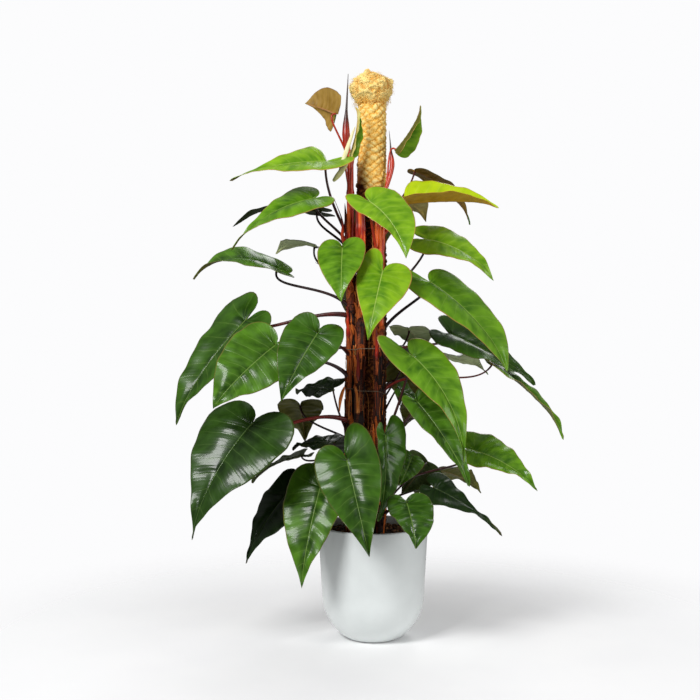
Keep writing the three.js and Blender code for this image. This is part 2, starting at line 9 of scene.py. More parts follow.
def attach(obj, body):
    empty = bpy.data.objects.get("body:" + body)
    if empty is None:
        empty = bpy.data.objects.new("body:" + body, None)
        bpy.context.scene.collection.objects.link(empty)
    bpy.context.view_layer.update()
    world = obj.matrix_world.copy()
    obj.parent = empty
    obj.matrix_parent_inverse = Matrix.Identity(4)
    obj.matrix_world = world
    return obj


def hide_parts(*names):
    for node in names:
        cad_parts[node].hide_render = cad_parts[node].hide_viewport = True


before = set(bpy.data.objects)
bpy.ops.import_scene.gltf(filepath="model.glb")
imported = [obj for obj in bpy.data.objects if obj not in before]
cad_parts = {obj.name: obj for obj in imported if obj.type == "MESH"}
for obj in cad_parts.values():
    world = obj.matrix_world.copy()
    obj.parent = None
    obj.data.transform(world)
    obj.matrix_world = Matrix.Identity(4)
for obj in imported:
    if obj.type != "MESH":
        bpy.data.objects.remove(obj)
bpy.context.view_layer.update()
mm = 0.001
print("frame loaded")


# Shared helpers: colours, nodes and meshes. Shapes are worked out in mm and stored in metres.

def linear(hexColour):
    channels = [int(hexColour[i:i + 2], 16) / 255 for i in (1, 3, 5)]
    return [c / 12.92 if c <= 0.04045 else ((c + 0.055) / 1.055) ** 2.4 for c in channels] + [1]


# Inputs are a list in the node's own order, or a dictionary; a node among them stands for its first output.
# Stops are those of a colour ramp: (position, hex colour).
def addNode(material, kind, inputs=(), stops=(), **settings):
    node = material.node_tree.nodes.new("ShaderNode" + kind)
    for key, value in settings.items():
        setattr(node, key, value)
    for key, value in inputs.items() if isinstance(inputs, dict) else enumerate(inputs):
        if isinstance(value, bpy.types.Node):
            value = value.outputs[0]
        if isinstance(value, bpy.types.NodeSocket):
            material.node_tree.links.new(value, node.inputs[key])
        else:
            node.inputs[key].default_value = value
    for k, (position, colour) in enumerate(stops):
        stop = node.color_ramp.elements[k] if k < 2 else node.color_ramp.elements.new(position)
        stop.position = position
        stop.color = linear(colour)
    return node


def newMaterial(name):
    material = bpy.data.materials.new(name)
    material.use_nodes = True
    material.node_tree.nodes.clear()
    return material


# Ends a material: height is bumped by so many metres, and the rest goes to the shader
def finishMaterial(material, height, distance, inputs):
    bump = addNode(material, "Bump", {"Strength": 1.0, "Distance": distance, "Height": height})
    shader = addNode(material, "BsdfPrincipled", {"Normal": bump, "Coat Normal": bump, **inputs})
    addNode(material, "OutputMaterial", [shader])
    return material


def meshObject(name, points, faces, materials, slots=None):
    mesh = bpy.data.meshes.new(name)
    mesh.from_pydata([(p[0] * mm, p[1] * mm, p[2] * mm) for p in points], [], faces)
    for material in materials:
        mesh.materials.append(material)
    if slots is not None:
        mesh.polygons.foreach_set("material_index", slots)
    mesh.polygons.foreach_set("use_smooth", [True] * len(mesh.polygons))
    mesh.update()
    piece = bpy.data.objects.new(name, mesh)
    bpy.context.collection.objects.link(piece)
    return piece


def addLayer(piece, name, values):
    layer = piece.data.attributes.new(name, "FLOAT", "POINT")
    layer.data.foreach_set("value", values)


def place(piece, node):
    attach(piece, "root")
    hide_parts(node)


def clamp(value):
    return min(1, max(0, value))


def outwards(angle):
    return Vector((math.cos(angle), math.sin(angle), 0))


def bezier(points, t):
    t = np.asarray(t, float)[..., None]
    p = [np.array(q, float) for q in points]
    return (1 - t) ** 3 * p[0] + 3 * (1 - t) ** 2 * t * p[1] + 3 * (1 - t) * t ** 2 * p[2] + t ** 3 * p[3]


# Faces of a stack of rings; closed by a cap at each end, or joined round to the first ring
def ringFaces(rings, around, joined=False):
    faces = []
    for k in range(rings if joined else rings - 1):
        up = (k + 1) % rings
        for n in range(around):
            side = (n + 1) % around
            faces.append((k * around + n, k * around + side, up * around + side, up * around + n))
    if not joined:
        faces.append(tuple(reversed(range(around))))
        faces.append(tuple(range((rings - 1) * around, rings * around)))
    return faces


# Collects bars, scraps and chips that end up in one mesh
class Pile:
    def __init__(self):
        self.points, self.faces, self.slots, self.tones = [], [], [], []

    def add(self, points, faces, slot=0, tone=0.0):
        start = len(self.points)
        self.points.extend(points)
        self.faces.extend(tuple(start + v for v in face) for face in faces)
        self.slots.extend([slot] * len(faces))
        self.tones.extend(tone if isinstance(tone, list) else [tone] * len(points))

    # A round closed bar along points, with a radius at each of them
    def bar(self, line, radii, sides, slot=0, tone=0.0):
        line = [Vector(p) for p in line]
        out = (line[1] - line[0]).orthogonal().normalized()
        points = []
        for k, centre in enumerate(line):
            ahead = (line[min(k + 1, len(line) - 1)] - line[max(k - 1, 0)]).normalized()
            out = (out - ahead * out.dot(ahead)).normalized()
            other = ahead.cross(out)
            for n in range(sides):
                turn = 2 * math.pi * n / sides
                points.append(centre + (out * math.cos(turn) + other * math.sin(turn)) * radii[k])
        if isinstance(tone, list):
            tone = [t for t in tone for _ in range(sides)]
        self.add(points, ringFaces(len(line), sides), slot, tone)

    # A thin closed sheet. pairAt gives its outer and its inner point at v, from 0 to 1 along it,
    # and h, from -1 to 1 across it.
    def sheet(self, steps, halfColumns, pairAt, slot, tone):
        rows, columns = steps + 1, 2 * halfColumns + 1
        pairs = [pairAt(k / steps, n / halfColumns - 1) for k in range(rows) for n in range(columns)]
        points = [outer for outer, _ in pairs] + [inner for _, inner in pairs]
        under = rows * columns
        faces = []
        for k in range(rows - 1):
            for n in range(columns - 1):
                a, b = k * columns + n, (k + 1) * columns + n
                faces.append((a, a + 1, b + 1, b))
                faces.append((under + a, under + b, under + b + 1, under + a + 1))
        rim = [n for n in range(columns)] + [k * columns + columns - 1 for k in range(1, rows)]
        rim += [(rows - 1) * columns + n for n in range(columns - 2, -1, -1)]
        rim += [k * columns for k in range(rows - 2, 0, -1)]
        for k, a in enumerate(rim):
            b = rim[(k + 1) % len(rim)]
            faces.append((b, a, under + a, under + b))
        self.add(points, faces, slot, tone)

    def build(self, name, materials):
        piece = meshObject(name, self.points, self.faces, materials, self.slots)
        addLayer(piece, "tone", self.tones)
        return piece


# Camera, lamps and floor

studio = {
    "eye": (-0.0575, -3.0, 0.805),
    "lens": 61.714,
    "horizon": 36 / 700,  # the horizon stands this share of the frame above its middle
    "wall": "#fcfcfd",
    "roomLight": 0.23,  # how much of the wall's white lights the plant
    "floor": "#f4f4f5", "floorLight": "#fafafa", "floorSize": 8000,
    "fade": (0.25, 1.3),  # the floor's paint thins out between these distances from the pot, in metres
    "lamps": {
        "windowLamp": {"at": (-2.1, -2.6, 2.9), "aim": (0, 0, 0.75), "size": 1.5, "power": 150},
        "fillLamp": {"at": (2.6, -1.9, 1.6), "aim": (0, 0, 0.7), "size": 1.6, "power": 40},
        "backLamp": {"at": (0.8, 2.6, 2.6), "aim": (0, 0, 0.9), "size": 1.8, "power": 38},
    },
}

camera = bpy.data.objects.new("camera", bpy.data.cameras.new("camera"))
bpy.context.collection.objects.link(camera)
camera.location = studio["eye"]
camera.rotation_euler = (math.radians(90), 0, 0)
camera.data.sensor_width = 36
camera.data.lens = studio["lens"]
camera.data.shift_y = -studio["horizon"]
bpy.context.scene.camera = camera
bpy.context.scene.view_settings.view_transform = "Standard"

for lampName, lamp in studio["lamps"].items():
    light = bpy.data.lights.new(lampName, "AREA")
    light.size = lamp["size"]
    light.energy = lamp["power"]
    holder = bpy.data.objects.new(lampName, light)
    holder.location = lamp["at"]
    holder.rotation_euler = (Vector(lamp["aim"]) - holder.location).to_track_quat("-Z", "Y").to_euler()
    bpy.context.collection.objects.link(holder)

world = bpy.data.worlds.new("paleRoom")
world.use_nodes = True
world.node_tree.nodes.clear()
seen = addNode(world, "LightPath").outputs["Is Camera Ray"]
strength = addNode(world, "MapRange", {0: seen, 3: studio["roomLight"], 4: 1.0})
backing = addNode(world, "Background", [linear(studio["wall"]), strength])
addNode(world, "OutputWorld", [backing])
bpy.context.scene.world = world

# Matt paint on the floor, which thins out to the room's own white a metre away
floorPaint = newMaterial("mattFloorPaint")
spot = addNode(floorPaint, "TexCoord").outputs["Object"]
distance = addNode(floorPaint, "VectorMath", [spot], operation="LENGTH").outputs["Value"]
fade = addNode(floorPaint, "MapRange", [distance, *studio["fade"], 0.0, 1.0], interpolation_type="SMOOTHSTEP")
mottle = addNode(floorPaint, "TexNoise", {"Vector": spot, "Scale": 3.0})
paint = addNode(floorPaint, "ValToRGB", [mottle], [(0.3, studio["floor"]), (0.7, studio["floorLight"])])
matt = addNode(floorPaint, "BsdfPrincipled", {"Base Color": paint, "Roughness": 0.7})
clear = addNode(floorPaint, "BsdfTransparent")
blend = addNode(floorPaint, "MixShader", [fade, matt, clear])
addNode(floorPaint, "OutputMaterial", [blend])
corners = [(x * studio["floorSize"] / 2, y * studio["floorSize"] / 2, -0.2)
           for x, y in ((-1, -1), (1, -1), (1, 1), (-1, 1))]
floor = meshObject("floor", corners, [(0, 1, 2, 3)], [floorPaint])
print("camera, lamps and floor ready")


# Pot: glazed ceramic with a rounded foot, so an even white with soft clear reflections

pot = {
    "rim": 137, "shoulder": 127, "foot": 62, "height": 280, "shoulderUp": 98, "wall": 7, "floor": 9,
    "footPull": (8, -4, -61),  # how the curve of the foot is drawn out below and at the shoulder
    "lip": 3.5,
    "turns": 144,
    "glaze": "#dde2e1", "glazeShade": "#d8dddc",
    "roughness": 0.2,
}

glazedCeramic = newMaterial("glazedCeramic")
where = addNode(glazedCeramic, "TexCoord").outputs["Object"]
# glaze pools in patches some 60 mm wide, and its skin has waves about 12 mm long
pooling = addNode(glazedCeramic, "TexNoise", {"Vector": where, "Scale": 16.0, "Detail": 2.0})
waves = addNode(glazedCeramic, "TexNoise", {"Vector": where, "Scale": 80.0, "Detail": 1.0})
white = addNode(glazedCeramic, "ValToRGB", [pooling], [(0.3, pot["glazeShade"]), (0.65, pot["glaze"])])
sheen = addNode(glazedCeramic, "MapRange",
                [pooling, 0.3, 0.7, pot["roughness"] - 0.03, pot["roughness"] + 0.06])
finishMaterial(glazedCeramic, waves, 0.00012, {
    "Base Color": white, "Roughness": sheen, "IOR": 1.5, "Coat Weight": 0.3, "Coat Roughness": 0.08})

footCurve = bezier([(pot["foot"], 0), (pot["foot"] + pot["footPull"][0], 0),
                    (pot["shoulder"] + pot["footPull"][1], pot["shoulderUp"] + pot["footPull"][2]),
                    (pot["shoulder"], pot["shoulderUp"])], np.linspace(0, 1, 25))
wellCurve = [(r - pot["wall"], z + pot["floor"] * (1 - z / pot["shoulderUp"])) for r, z in footCurve]


def potWall(z):
    share = (z - pot["shoulderUp"]) / (pot["height"] - pot["shoulderUp"])
    return pot["shoulder"] + (pot["rim"] - pot["shoulder"]) * share


def turnedPoints(profile, turns):
    return [(r * math.cos(2 * math.pi * n / turns), r * math.sin(2 * math.pi * n / turns), z)
            for r, z in profile for n in range(turns)]


wallHeights = np.linspace(pot["shoulderUp"], pot["height"] - pot["lip"], 14)[1:]
lipArc = [(potWall(pot["height"]) - pot["wall"] / 2 + pot["wall"] / 2 * math.cos(a),
           pot["height"] - pot["lip"] + pot["lip"] * math.sin(a)) for a in np.linspace(0, math.pi, 13)[1:-1]]
potProfile = [(6, 0), (pot["foot"] - 3, 0)] + [tuple(p) for p in footCurve]
potProfile += [(potWall(z), z) for z in wallHeights] + lipArc
potProfile += [(potWall(z) - pot["wall"], z) for z in reversed(wallHeights)] + list(reversed(wellCurve))
potProfile += [(6, pot["floor"])]
potPiece = meshObject("pot_glazed", turnedPoints(potProfile, pot["turns"]),
                      ringFaces(len(potProfile), pot["turns"]), [glazedCeramic])
place(potPiece, "pot")
print("pot turned")


# Soil: damp peat and bark, matt and nearly black, with brown chips where it has dried

soil = {
    "level": 259, "mound": 11, "lump": 3.5, "gap": 0.3,
    "rings": 56, "turns": 150,
    "chips": 420, "chipSize": (2.5, 8.5), "chipTilt": 0.5,
    "peat": "#150c08", "crumb": "#3a2316", "bark": ["#2a1810", "#6b4328", "#8d6440"],
}


def crumbled(name, stops, coarse, fine, roughness):
    material = newMaterial(name)
    where = addNode(material, "TexCoord").outputs["Object"]
    tone = addNode(material, "Attribute", attribute_name="tone").outputs["Fac"]
    lumps = addNode(material, "TexNoise", {"Vector": where, "Scale": coarse, "Detail": 4.0})
    grit = addNode(material, "TexNoise", {"Vector": where, "Scale": fine, "Detail": 3.0})
    lumpy = addNode(material, "Math", [lumps, 0.6], operation="MULTIPLY")
    mixed = addNode(material, "Math", [tone, 0.7, lumpy], operation="MULTIPLY_ADD")
    colour = addNode(material, "ValToRGB", [mixed], stops)
    return finishMaterial(material, grit, 0.0012, {"Base Color": colour, "Roughness": roughness, "IOR": 1.4})


# crumbs about 8 mm across with 1.5 mm grit; the bark's grain is finer, 5 and 1 mm
dampPeat = crumbled("dampPeat", [(0.2, soil["peat"]), (0.6, soil["crumb"])], 120.0, 650.0, 0.95)
composted = crumbled("compostedBark", list(zip((0.15, 0.6, 1.0), soil["bark"])), 200.0, 900.0, 0.85)


def soilHeight(x, y):
    r = math.hypot(x, y)
    lump = noise.noise(Vector((x, y, 3)) / 14) + 0.6 * noise.noise(Vector((x, y, 9)) / 6)
    grain = 0.25 * noise.noise(Vector((x, y, 0)) / 2.2)
    return soil["level"] + soil["mound"] * (1 - r / 120) + soil["lump"] * (lump + grain)


random.seed(11)
soilPile = Pile()
brim = potWall(soil["level"]) - pot["wall"] - soil["gap"]
soilProfile = [(6, pot["floor"] + soil["gap"])] + [(r - 0.5, z + soil["gap"]) for r, z in wellCurve]
soilProfile += [(potWall(z) - pot["wall"] - soil["gap"], z)
                for z in np.linspace(pot["shoulderUp"] + 10, 250, 8)]
soilPoints = turnedPoints(soilProfile, soil["turns"])
for ring in range(soil["rings"]):
    r = brim * (1 - ring / soil["rings"]) + 1
    for n in range(soil["turns"]):
        x, y = r * math.cos(2 * math.pi * n / soil["turns"]), r * math.sin(2 * math.pi * n / soil["turns"])
        soilPoints.append((x, y, soilHeight(x, y)))
soilPile.add(soilPoints, ringFaces(len(soilProfile) + soil["rings"], soil["turns"]))
for _ in range(soil["chips"]):
    r, turn = (brim - 6) * math.sqrt(random.random()), random.uniform(0, 2 * math.pi)
    centre = Vector((r * math.cos(turn), r * math.sin(turn), 0))
    centre.z = soilHeight(centre.x, centre.y) + 0.8
    size = random.uniform(*soil["chipSize"])
    stretch = Vector((random.uniform(0.7, 1.5), random.uniform(0.4, 0.8), random.uniform(0.25, 0.5))) * size
    lean = soil["chipTilt"]
    tilt = Vector((random.uniform(-lean, lean), random.uniform(-lean, lean), 1)).to_track_quat("Z", "Y")
    spin = random.uniform(0, math.pi)
    chip = []
    for height, wide in ((-1, 0.45), (-0.5, 0.9), (0.4, 1.0), (1, 0.5)):
        for n in range(7):
            reach = wide * random.uniform(0.75, 1.15)
            corner = Vector((reach * math.cos(spin + n * 0.9), reach * math.sin(spin + n * 0.9), height))
            chip.append(centre + tilt @ (corner * stretch))
    soilPile.add(chip, ringFaces(4, 7), 1, random.random())
soilPiece = soilPile.build("soil_peat", [dampPeat, composted])
place(soilPiece, "soil")
print("soil filled")


# Climbing pole: a turned softwood core in a sleeve of coir, with loose coir gathered over the top

pole = {
    "x": -4, "sleeve": 34.0, "cushion": 6.0, "slimmer": 2.6, "foot": 120, "neck": 1328, "bore": 20.3,
    "around": 9, "plait": 18,  # plaits round the pole, and the height of one in mm
    "pull": 0.38, "finePull": 0.2,  # how far the plaits are pulled out of true, as a share of one
    "thick": 0.8, "uneven": 0.26,  # how thick a pad is, and by how much that differs
    "slimFrom": 1090, "slimOver": 160,  # the sleeve narrows above this height, over this length
    "grainAt": 38,  # its surface is roughened as at this distance from the pole's middle
    "rings": 590, "turns": 136,
    "fibres": 1300, "fibreRadius": 0.34,
    "straw": ["#a8681a", "#fabd52", "#ffe292"],
    # colours of the damp coir, which also stand for painted shade low down and behind the stalks
    "dampAndShade": ["#1c0d05", "#57290f", "#9c602a"],
    "dampShadeBelow": (1060, 1125),
}
tuft = {
    "profile": [(33, 1328.3), (37, 1332), (43, 1343), (49, 1355), (50, 1366), (49, 1378), (43, 1389),
                (32, 1396), (19, 1401), (6, 1406)],
    "rings": 90, "turns": 140, "lump": 7.5, "fibres": 2300,
    # teased-out wisps stand up from the crown, the tallest a little left of its middle
    "crownFrom": 1378, "crownOver": 22, "peak": 12, "peakX": -14, "wisps": 7,
    "standingFrom": 1366,  # loose fibres stand up above this height
}

# Coir is retted coconut husk: dull golden fibres with dark gaps that are painted shade, browner where it
# stays damp, and darker there also with painted shade from the stalks
coir = newMaterial("rettedCoirFibre")
where = addNode(coir, "TexCoord").outputs["Object"]
# fibres are 0.3 mm thick; they are drawn coarser, about 2.4 mm apart, so that they show
twist = addNode(coir, "TexNoise", {"Vector": where, "Scale": 60.0, "Detail": 1.0}).outputs["Color"]
bent = addNode(coir, "VectorMath", [twist, (0.02, 0.02, 0.02), where], operation="MULTIPLY_ADD")
strands = addNode(coir, "TexNoise", {"Vector": bent, "Scale": 420.0, "Detail": 4.0, "Roughness": 0.7})
# tone carries painted shade: lighter on the raised pads and bulges, darker in the grooves and hollows between
# them
depth = addNode(coir, "Attribute", attribute_name="tone").outputs["Fac"]
# the damp mask also carries painted shade low down and behind the stalks on the left
dampShade = addNode(coir, "Attribute", attribute_name="dampShade").outputs["Fac"]
# painted shade: the gaps between the fibres are darkened by the same noise that sinks them
strandGapShade = addNode(coir, "Math", [strands, 1.3, -0.55], operation="MULTIPLY_ADD")
level = addNode(coir, "Math", [depth, 0.75, strandGapShade], operation="MULTIPLY_ADD")
dry = addNode(coir, "ValToRGB", [level], list(zip((0.0, 0.32, 0.7), pole["straw"])))
dampAndShade = addNode(coir, "ValToRGB", [level], list(zip((0.0, 0.5, 1.0), pole["dampAndShade"])))
colour = addNode(coir, "Mix", {0: dampShade, 6: dry, 7: dampAndShade}, data_type="RGBA")
finishMaterial(coir, strands, 0.0015, {
    "Base Color": colour.outputs[2], "Roughness": 0.9, "IOR": 1.45, "Specular IOR Level": 0.25})


# The damp mask is partly real damp and partly painted shade: it creeps further up behind the stalks on the
# left, where they shade the coir
def dampShadeAt(x, y, z):
    low, high = pole["dampShadeBelow"]
    patchy = 60 * noise.noise(Vector((x, y, z)) / 40) + 70 * clamp((-x - 14) / 20)
    return clamp((high - z + patchy) / (high - low))


def onPole(radius, angle, z):
    return Vector((pole["x"] + radius * math.cos(angle), radius * math.sin(angle), z))


# How far the sleeve has narrowed at a height, from 0 to 1
def narrowing(z):
    share = clamp((z - pole["slimFrom"]) / pole["slimOver"])
    return share * share * (3 - 2 * share)


# Hand-made plaits: lens-shaped pads that cross in diamonds, pulled out of true and no two as thick
def cushionAt(angle, z):
    spot = onPole(pole["grainAt"], angle, z)
    pull = pole["pull"] * noise.noise(spot / 34) + pole["finePull"] * noise.noise(spot / 12)
    across = pole["around"] * angle / (2 * math.pi) + pull
    up = (z - pole["foot"]) / pole["plait"] + 0.5 * noise.noise(spot / 41 + Vector((7, 7, 7)))
    a, b = across + up, across - up
    column, row = math.floor(a) % pole["around"], math.floor(b) % pole["around"]
    own = noise.cell(Vector((column + 0.5, row + 0.5, math.floor(up) + 0.5)))
    thick = pole["thick"] + pole["uneven"] * own
    a, b = a % 1, b % 1
    # one side of each pad tucks under its neighbour
    pad = (math.sin(math.pi * a ** 0.75) * math.sin(math.pi * b ** 1.15)) ** 0.5
    return pad * thick * (0.85 + 0.25 * a)


def onSleeve(angle, z, cushion, raised=0):
    narrowed = narrowing(z)
    radius = pole["sleeve"] - pole["slimmer"] * narrowed + pole["cushion"] * cushion + raised
    return onPole(radius, angle, z) + Vector((2 * narrowed, 0, 0))


# Loose fibres, each a three-sided bar: startAt gives a root, the way out, and the fibre's lift and length
def addFibres(pile, count, startAt, dampShade):
    for _ in range(count):
        start, out, lift, length = startAt()
        drift = Vector((random.gauss(0, 1), random.gauss(0, 1), random.gauss(0, 1)))
        along = (drift - out * drift.dot(out)).normalized()
        curlWay = out.cross(along) * random.uniform(-0.6, 0.6)
        line = []
        for k in range(6):
            t = k / 5
            line.append(start + along * length * t + out * (lift * length * t * (1 - 0.6 * t) - 0.6)
                        + curlWay * length * t * t)
        ahead = (line[-1] - line[0]).normalized()
        flat = ahead.orthogonal().normalized()
        other = ahead.cross(flat)
        points = []
        for k, centre in enumerate(line):
            radius = pole["fibreRadius"] * (1 - 0.5 * k / 5)
            points += [centre + (flat * math.cos(turn) + other * math.sin(turn)) * radius
                       for turn in (0, 2.094, 4.189)]
        pile.add(points, ringFaces(6, 3), 0, random.uniform(0.45, 1.0))
        dampShade.extend([dampShadeAt(*start)] * len(points))


random.seed(23)
sleevePile = Pile()
sleevePoints, sleeveGrooveShade, sleeveDampShade = [], [], []
for k in range(pole["rings"] + 1):
    z = pole["foot"] + (pole["neck"] - pole["foot"]) * k / pole["rings"]
    for n in range(pole["turns"]):
        angle = 2 * math.pi * n / pole["turns"]
        cushion = cushionAt(angle, z)
        spot = onPole(pole["grainAt"], angle, z)
        rough = noise.noise(spot / 3.2) + 0.6 * noise.noise(Vector((spot.x / 1.4, spot.y / 1.4, spot.z / 5)))
        sleevePoints.append(onSleeve(angle, z, cushion, 1.1 * rough))
        # painted shade: the coir is lighter on the raised pads and darker in the grooves between them
        sleeveGrooveShade.append(clamp(0.1 + cushion ** 1.2 + 0.28 * rough))
        sleeveDampShade.append(dampShadeAt(*spot))
for z in (pole["neck"], pole["foot"]):
    sleevePoints += [onPole(pole["bore"], 2 * math.pi * n / pole["turns"], z) for n in range(pole["turns"])]
    sleeveGrooveShade += [0.0] * pole["turns"]
    sleeveDampShade += [0.0] * pole["turns"]
sleevePile.add(sleevePoints, ringFaces(pole["rings"] + 3, pole["turns"], joined=True), 0, sleeveGrooveShade)


def rootOnSleeve():
    angle, z = random.uniform(0, 2 * math.pi), random.uniform(pole["foot"] + 140, pole["neck"])
    start = onSleeve(angle, z, cushionAt(angle, z))
    return start, outwards(angle), random.uniform(0.05, 0.5), random.uniform(6, 17)


addFibres(sleevePile, pole["fibres"], rootOnSleeve, sleeveDampShade)
sleevePiece = sleevePile.build("coir_sleeve_fibre", [coir])
addLayer(sleevePiece, "dampShade", sleeveDampShade)
place(sleevePiece, "coir_sleeve")

tuftPile = Pile()
tuftPoints, tuftHollowShade = [], []
reaches, heights = zip(*tuft["profile"])
steps = np.linspace(0, len(heights) - 1, tuft["rings"])
knots = range(len(heights))
tuftLine = [(float(np.interp(s, knots, reaches)), float(np.interp(s, knots, heights))) for s in steps]
for r, z in tuftLine:
    for n in range(tuft["turns"]):
        angle = 2 * math.pi * n / tuft["turns"]
        spot = onPole(r, angle, z)
        share = clamp((z - heights[0]) / 20)
        rough = 1.2 * noise.noise(spot / 17) + 0.7 * noise.noise(spot / 6) + 0.4 * noise.noise(spot / 2.2)
        bulge = tuft["lump"] * share * rough
        crown = clamp((z - tuft["crownFrom"]) / tuft["crownOver"])
        tall = tuft["peak"] * math.exp(-((spot.x - tuft["peakX"]) ** 2 + spot.y ** 2) / 120)
        tall += tuft["wisps"] * noise.noise(spot / 8)
        up = z + 0.4 * bulge * (z - pole["neck"]) / 84 + crown * max(0, tall)
        tuftPoints.append(onPole(r + bulge, angle, up))
        # painted shade: the tuft is lighter where it bulges and darker in its hollows; it is also darker
        # towards its neck
        tuftHollowShade.append(clamp(0.42 + 0.3 * share + 0.5 * rough))
tuftPile.add(tuftPoints, ringFaces(tuft["rings"], tuft["turns"]), 0, tuftHollowShade)
tuftDampShade = [0.0] * len(tuftPoints)


def rootOnTuft():
    r, z = random.choice(tuftLine[6:])
    angle = random.uniform(0, 2 * math.pi)
    loose = 1 if random.random() < 0.8 else 2.2
    rising = clamp((z - tuft["standingFrom"]) / 40)
    out = Vector((math.cos(angle) * (1 - rising), math.sin(angle) * (1 - rising), 0.15 + rising)).normalized()
    return onPole(r, angle, z), out, random.uniform(0.1, 0.6) * loose, random.uniform(7, 17)


addFibres(tuftPile, tuft["fibres"], rootOnTuft, tuftDampShade)
tuftPiece = tuftPile.build("coir_tuft_fibre", [coir])
addLayer(tuftPiece, "dampShade", tuftDampShade)
place(tuftPiece, "coir_tuft")

# The core is hidden: softwood turned on a lathe, with growth rings 3 mm apart
turnedSoftwood = newMaterial("turnedSoftwood")
where = addNode(turnedSoftwood, "TexCoord").outputs["Object"]
growth = addNode(turnedSoftwood, "TexWave",
                 {"Vector": where, "Scale": 100.0, "Distortion": 2.0, "Detail": 2.0},
                 wave_type="RINGS", rings_direction="Z").outputs["Fac"]
timber = addNode(turnedSoftwood, "ValToRGB", [growth], [(0.2, "#a98654"), (0.8, "#d0b283")])
finishMaterial(turnedSoftwood, growth, 0.0002, {"Base Color": timber, "Roughness": 0.7, "IOR": 1.5})
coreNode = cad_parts["pole_core"]
coreNode.data.materials.clear()
coreNode.data.materials.append(turnedSoftwood)
print("pole wrapped")


# Leaves: what every blade shares. Lengths are in mm; veins are counted on one half.

blade = {
    "bayStations": 12, "limbStations": 48, "bayVeins": 3, "limbVeins": 8,
    "levels": [0, 0.012, 0.03, 0.06, 0.11, 0.18, 0.27, 0.38, 0.5, 0.63, 0.76, 0.88, 0.96, 1],
    "thickness": 0.8, "rib": 2.2, "ribWidth": 2.8, "sideRib": 0.5, "groove": 0.6, "grooveWidth": 3.2,
    "quilt": 1.2, "veinSweep": 1.3, "flutter": 1.8, "sag": 2.6, "edgeLift": 1.6,
    "rumple": 0.8, "oldRumple": 1.6, "oldBelow": 800,  # old leaves are more rumpled than new ones
}
leafDefaults = {"half": 1, "lobe": 0.8, "fold": 12, "curl": 22, "flare": 0, "full": 1, "waist": 0,
                "arch": 0.06, "bend": 0, "drip": 0.04, "wave": 3, "rise": 0.6}
widest = {"along": 0.06, "out": 0.34}
leafTable = []


# A leaf's stem and the height where its stalk leaves it, its blade from joint to tip, the way it faces and
# its width. Pairs are for the left and right half, seen on the upper face, tip down.
def addLeaf(stem, leaves, base, tip, faces, width, **shape):
    number = len(leafTable) + 1
    leafTable.append({"number": number, "name": f"leaf_{number:02d}", "stem": stem, "leaves": leaves,
                      "base": base, "tip": tip, "faces": faces, "width": width, **leafDefaults, **shape})


# Crown
addLeaf("left", 985, (-117, -62, 1180), (-349, -112, 1135), (0.1, -0.45, 0.9), 140, half=(1, 1.05),
        fold=(24, 14), lobe=(0.1, 1), flare=(0, 1), full=(-0.8, 0.8), arch=0.04)
addLeaf("left", 970, (-148, -70, 1088), (-345, -140, 965), (-0.2, -0.5, 0.85), 135, half=(1.05, 1.05),
        fold=(20, 10), lobe=(0.5, 0.6), flare=(0.6, 0), full=(-0.3, 0.7), waist=(0.3, 0), arch=0.09)
addLeaf("left", 955, (-140, 40, 1066), (-358, 60, 1037), (0, 0.1, 1), 130, lobe=0.7, arch=0.1)
addLeaf("left", 850, (-148, 90, 980), (-257, 240, 975), (0, 0.3, 0.95), 125, lobe=0.5)
addLeaf("left", 880, (-76, -110, 964), (-78, -205, 838), (-0.1, -0.9, 0.4), 115, half=(1.05, 1),
        full=(1.6, 1))
addLeaf("front", 780, (20, -130, 906), (-16, -225, 748), (0, -0.9, 0.4), 140, half=(0.85, 1.05),
        lobe=(1.4, 0.7), full=(1.1, 0.8))
addLeaf("right", 930, (-10, -140, 1073), (73, -230, 938), (0.2, -0.9, 0.4), 145, half=(0.65, 1),
        lobe=(1, 0.9), full=(0.6, 1.8), bend=0.06)
addLeaf("right", 985, (84, -45, 1078), (306, -75, 1073), (0, -0.25, 0.95), 140, half=(1, 1.25), fold=36,
        curl=14, lobe=(0.3, 0.2), full=(1.4, 1), arch=0.03)
addLeaf("right", 1000, (108, 55, 1170), (261, 125, 1044), (0.3, 0.1, 0.9), 110, lobe=0.15, arch=0.1)
addLeaf("back", 1000, (83, 75, 1096), (146, 190, 1055), (0.2, 0.4, 0.9), 100, lobe=0.5)
addLeaf("right", 1060, (57, -35, 1210), (121, -40, 1318), (0.8, -0.55, -0.3), 75, fold=62, lobe=0.3)
addLeaf("left", 1165, (-91, -25, 1300), (-168, 60, 1341), (0.5, 0.85, 0.1), 92, half=(1, 1.05),
        lobe=(0.1, 0), full=(0.2, 3), waist=(0, -0.5), arch=0.08, rise=0.95)
addLeaf("left", 1075, (-55, -60, 1199), (-38, -66, 1311), (0.9, -0.5, 0), 40, fold=60, lobe=0.4, rise=0.8)
# Middle, right
addLeaf("right", 790, (134, -20, 991), (298, -60, 893), (0.15, -0.5, 0.85), 130, fold=(4, 20),
        lobe=(0.7, 1), arch=0.1, rise=0.75)
addLeaf("right", 740, (142, -70, 882), (322, -150, 674), (0.35, -0.65, 0.6), 150, half=(0.95, 1),
        lobe=(1, 0.4), full=(1.4, 2), bend=0.03, rise=0.75)
addLeaf("right", 685, (198, 10, 755), (408, -20, 636), (0.2, -0.55, 0.8), 130, lobe=0.8, arch=0.03)
addLeaf("right", 600, (300, 10, 680), (477, -40, 502), (0.67, -0.2, 0.67), 100, fold=20, lobe=0.6)
addLeaf("back", 600, (176, 120, 696), (313, 200, 650), (0.2, 0.2, 0.9), 120, lobe=0.7)
addLeaf("right", 470, (95, -125, 703), (213, -195, 458), (0.3, -0.9, 0.3), 130, half=(0.85, 1.05),
        lobe=(1.1, 0.6), full=(0.4, 0.5), bend=0.08)
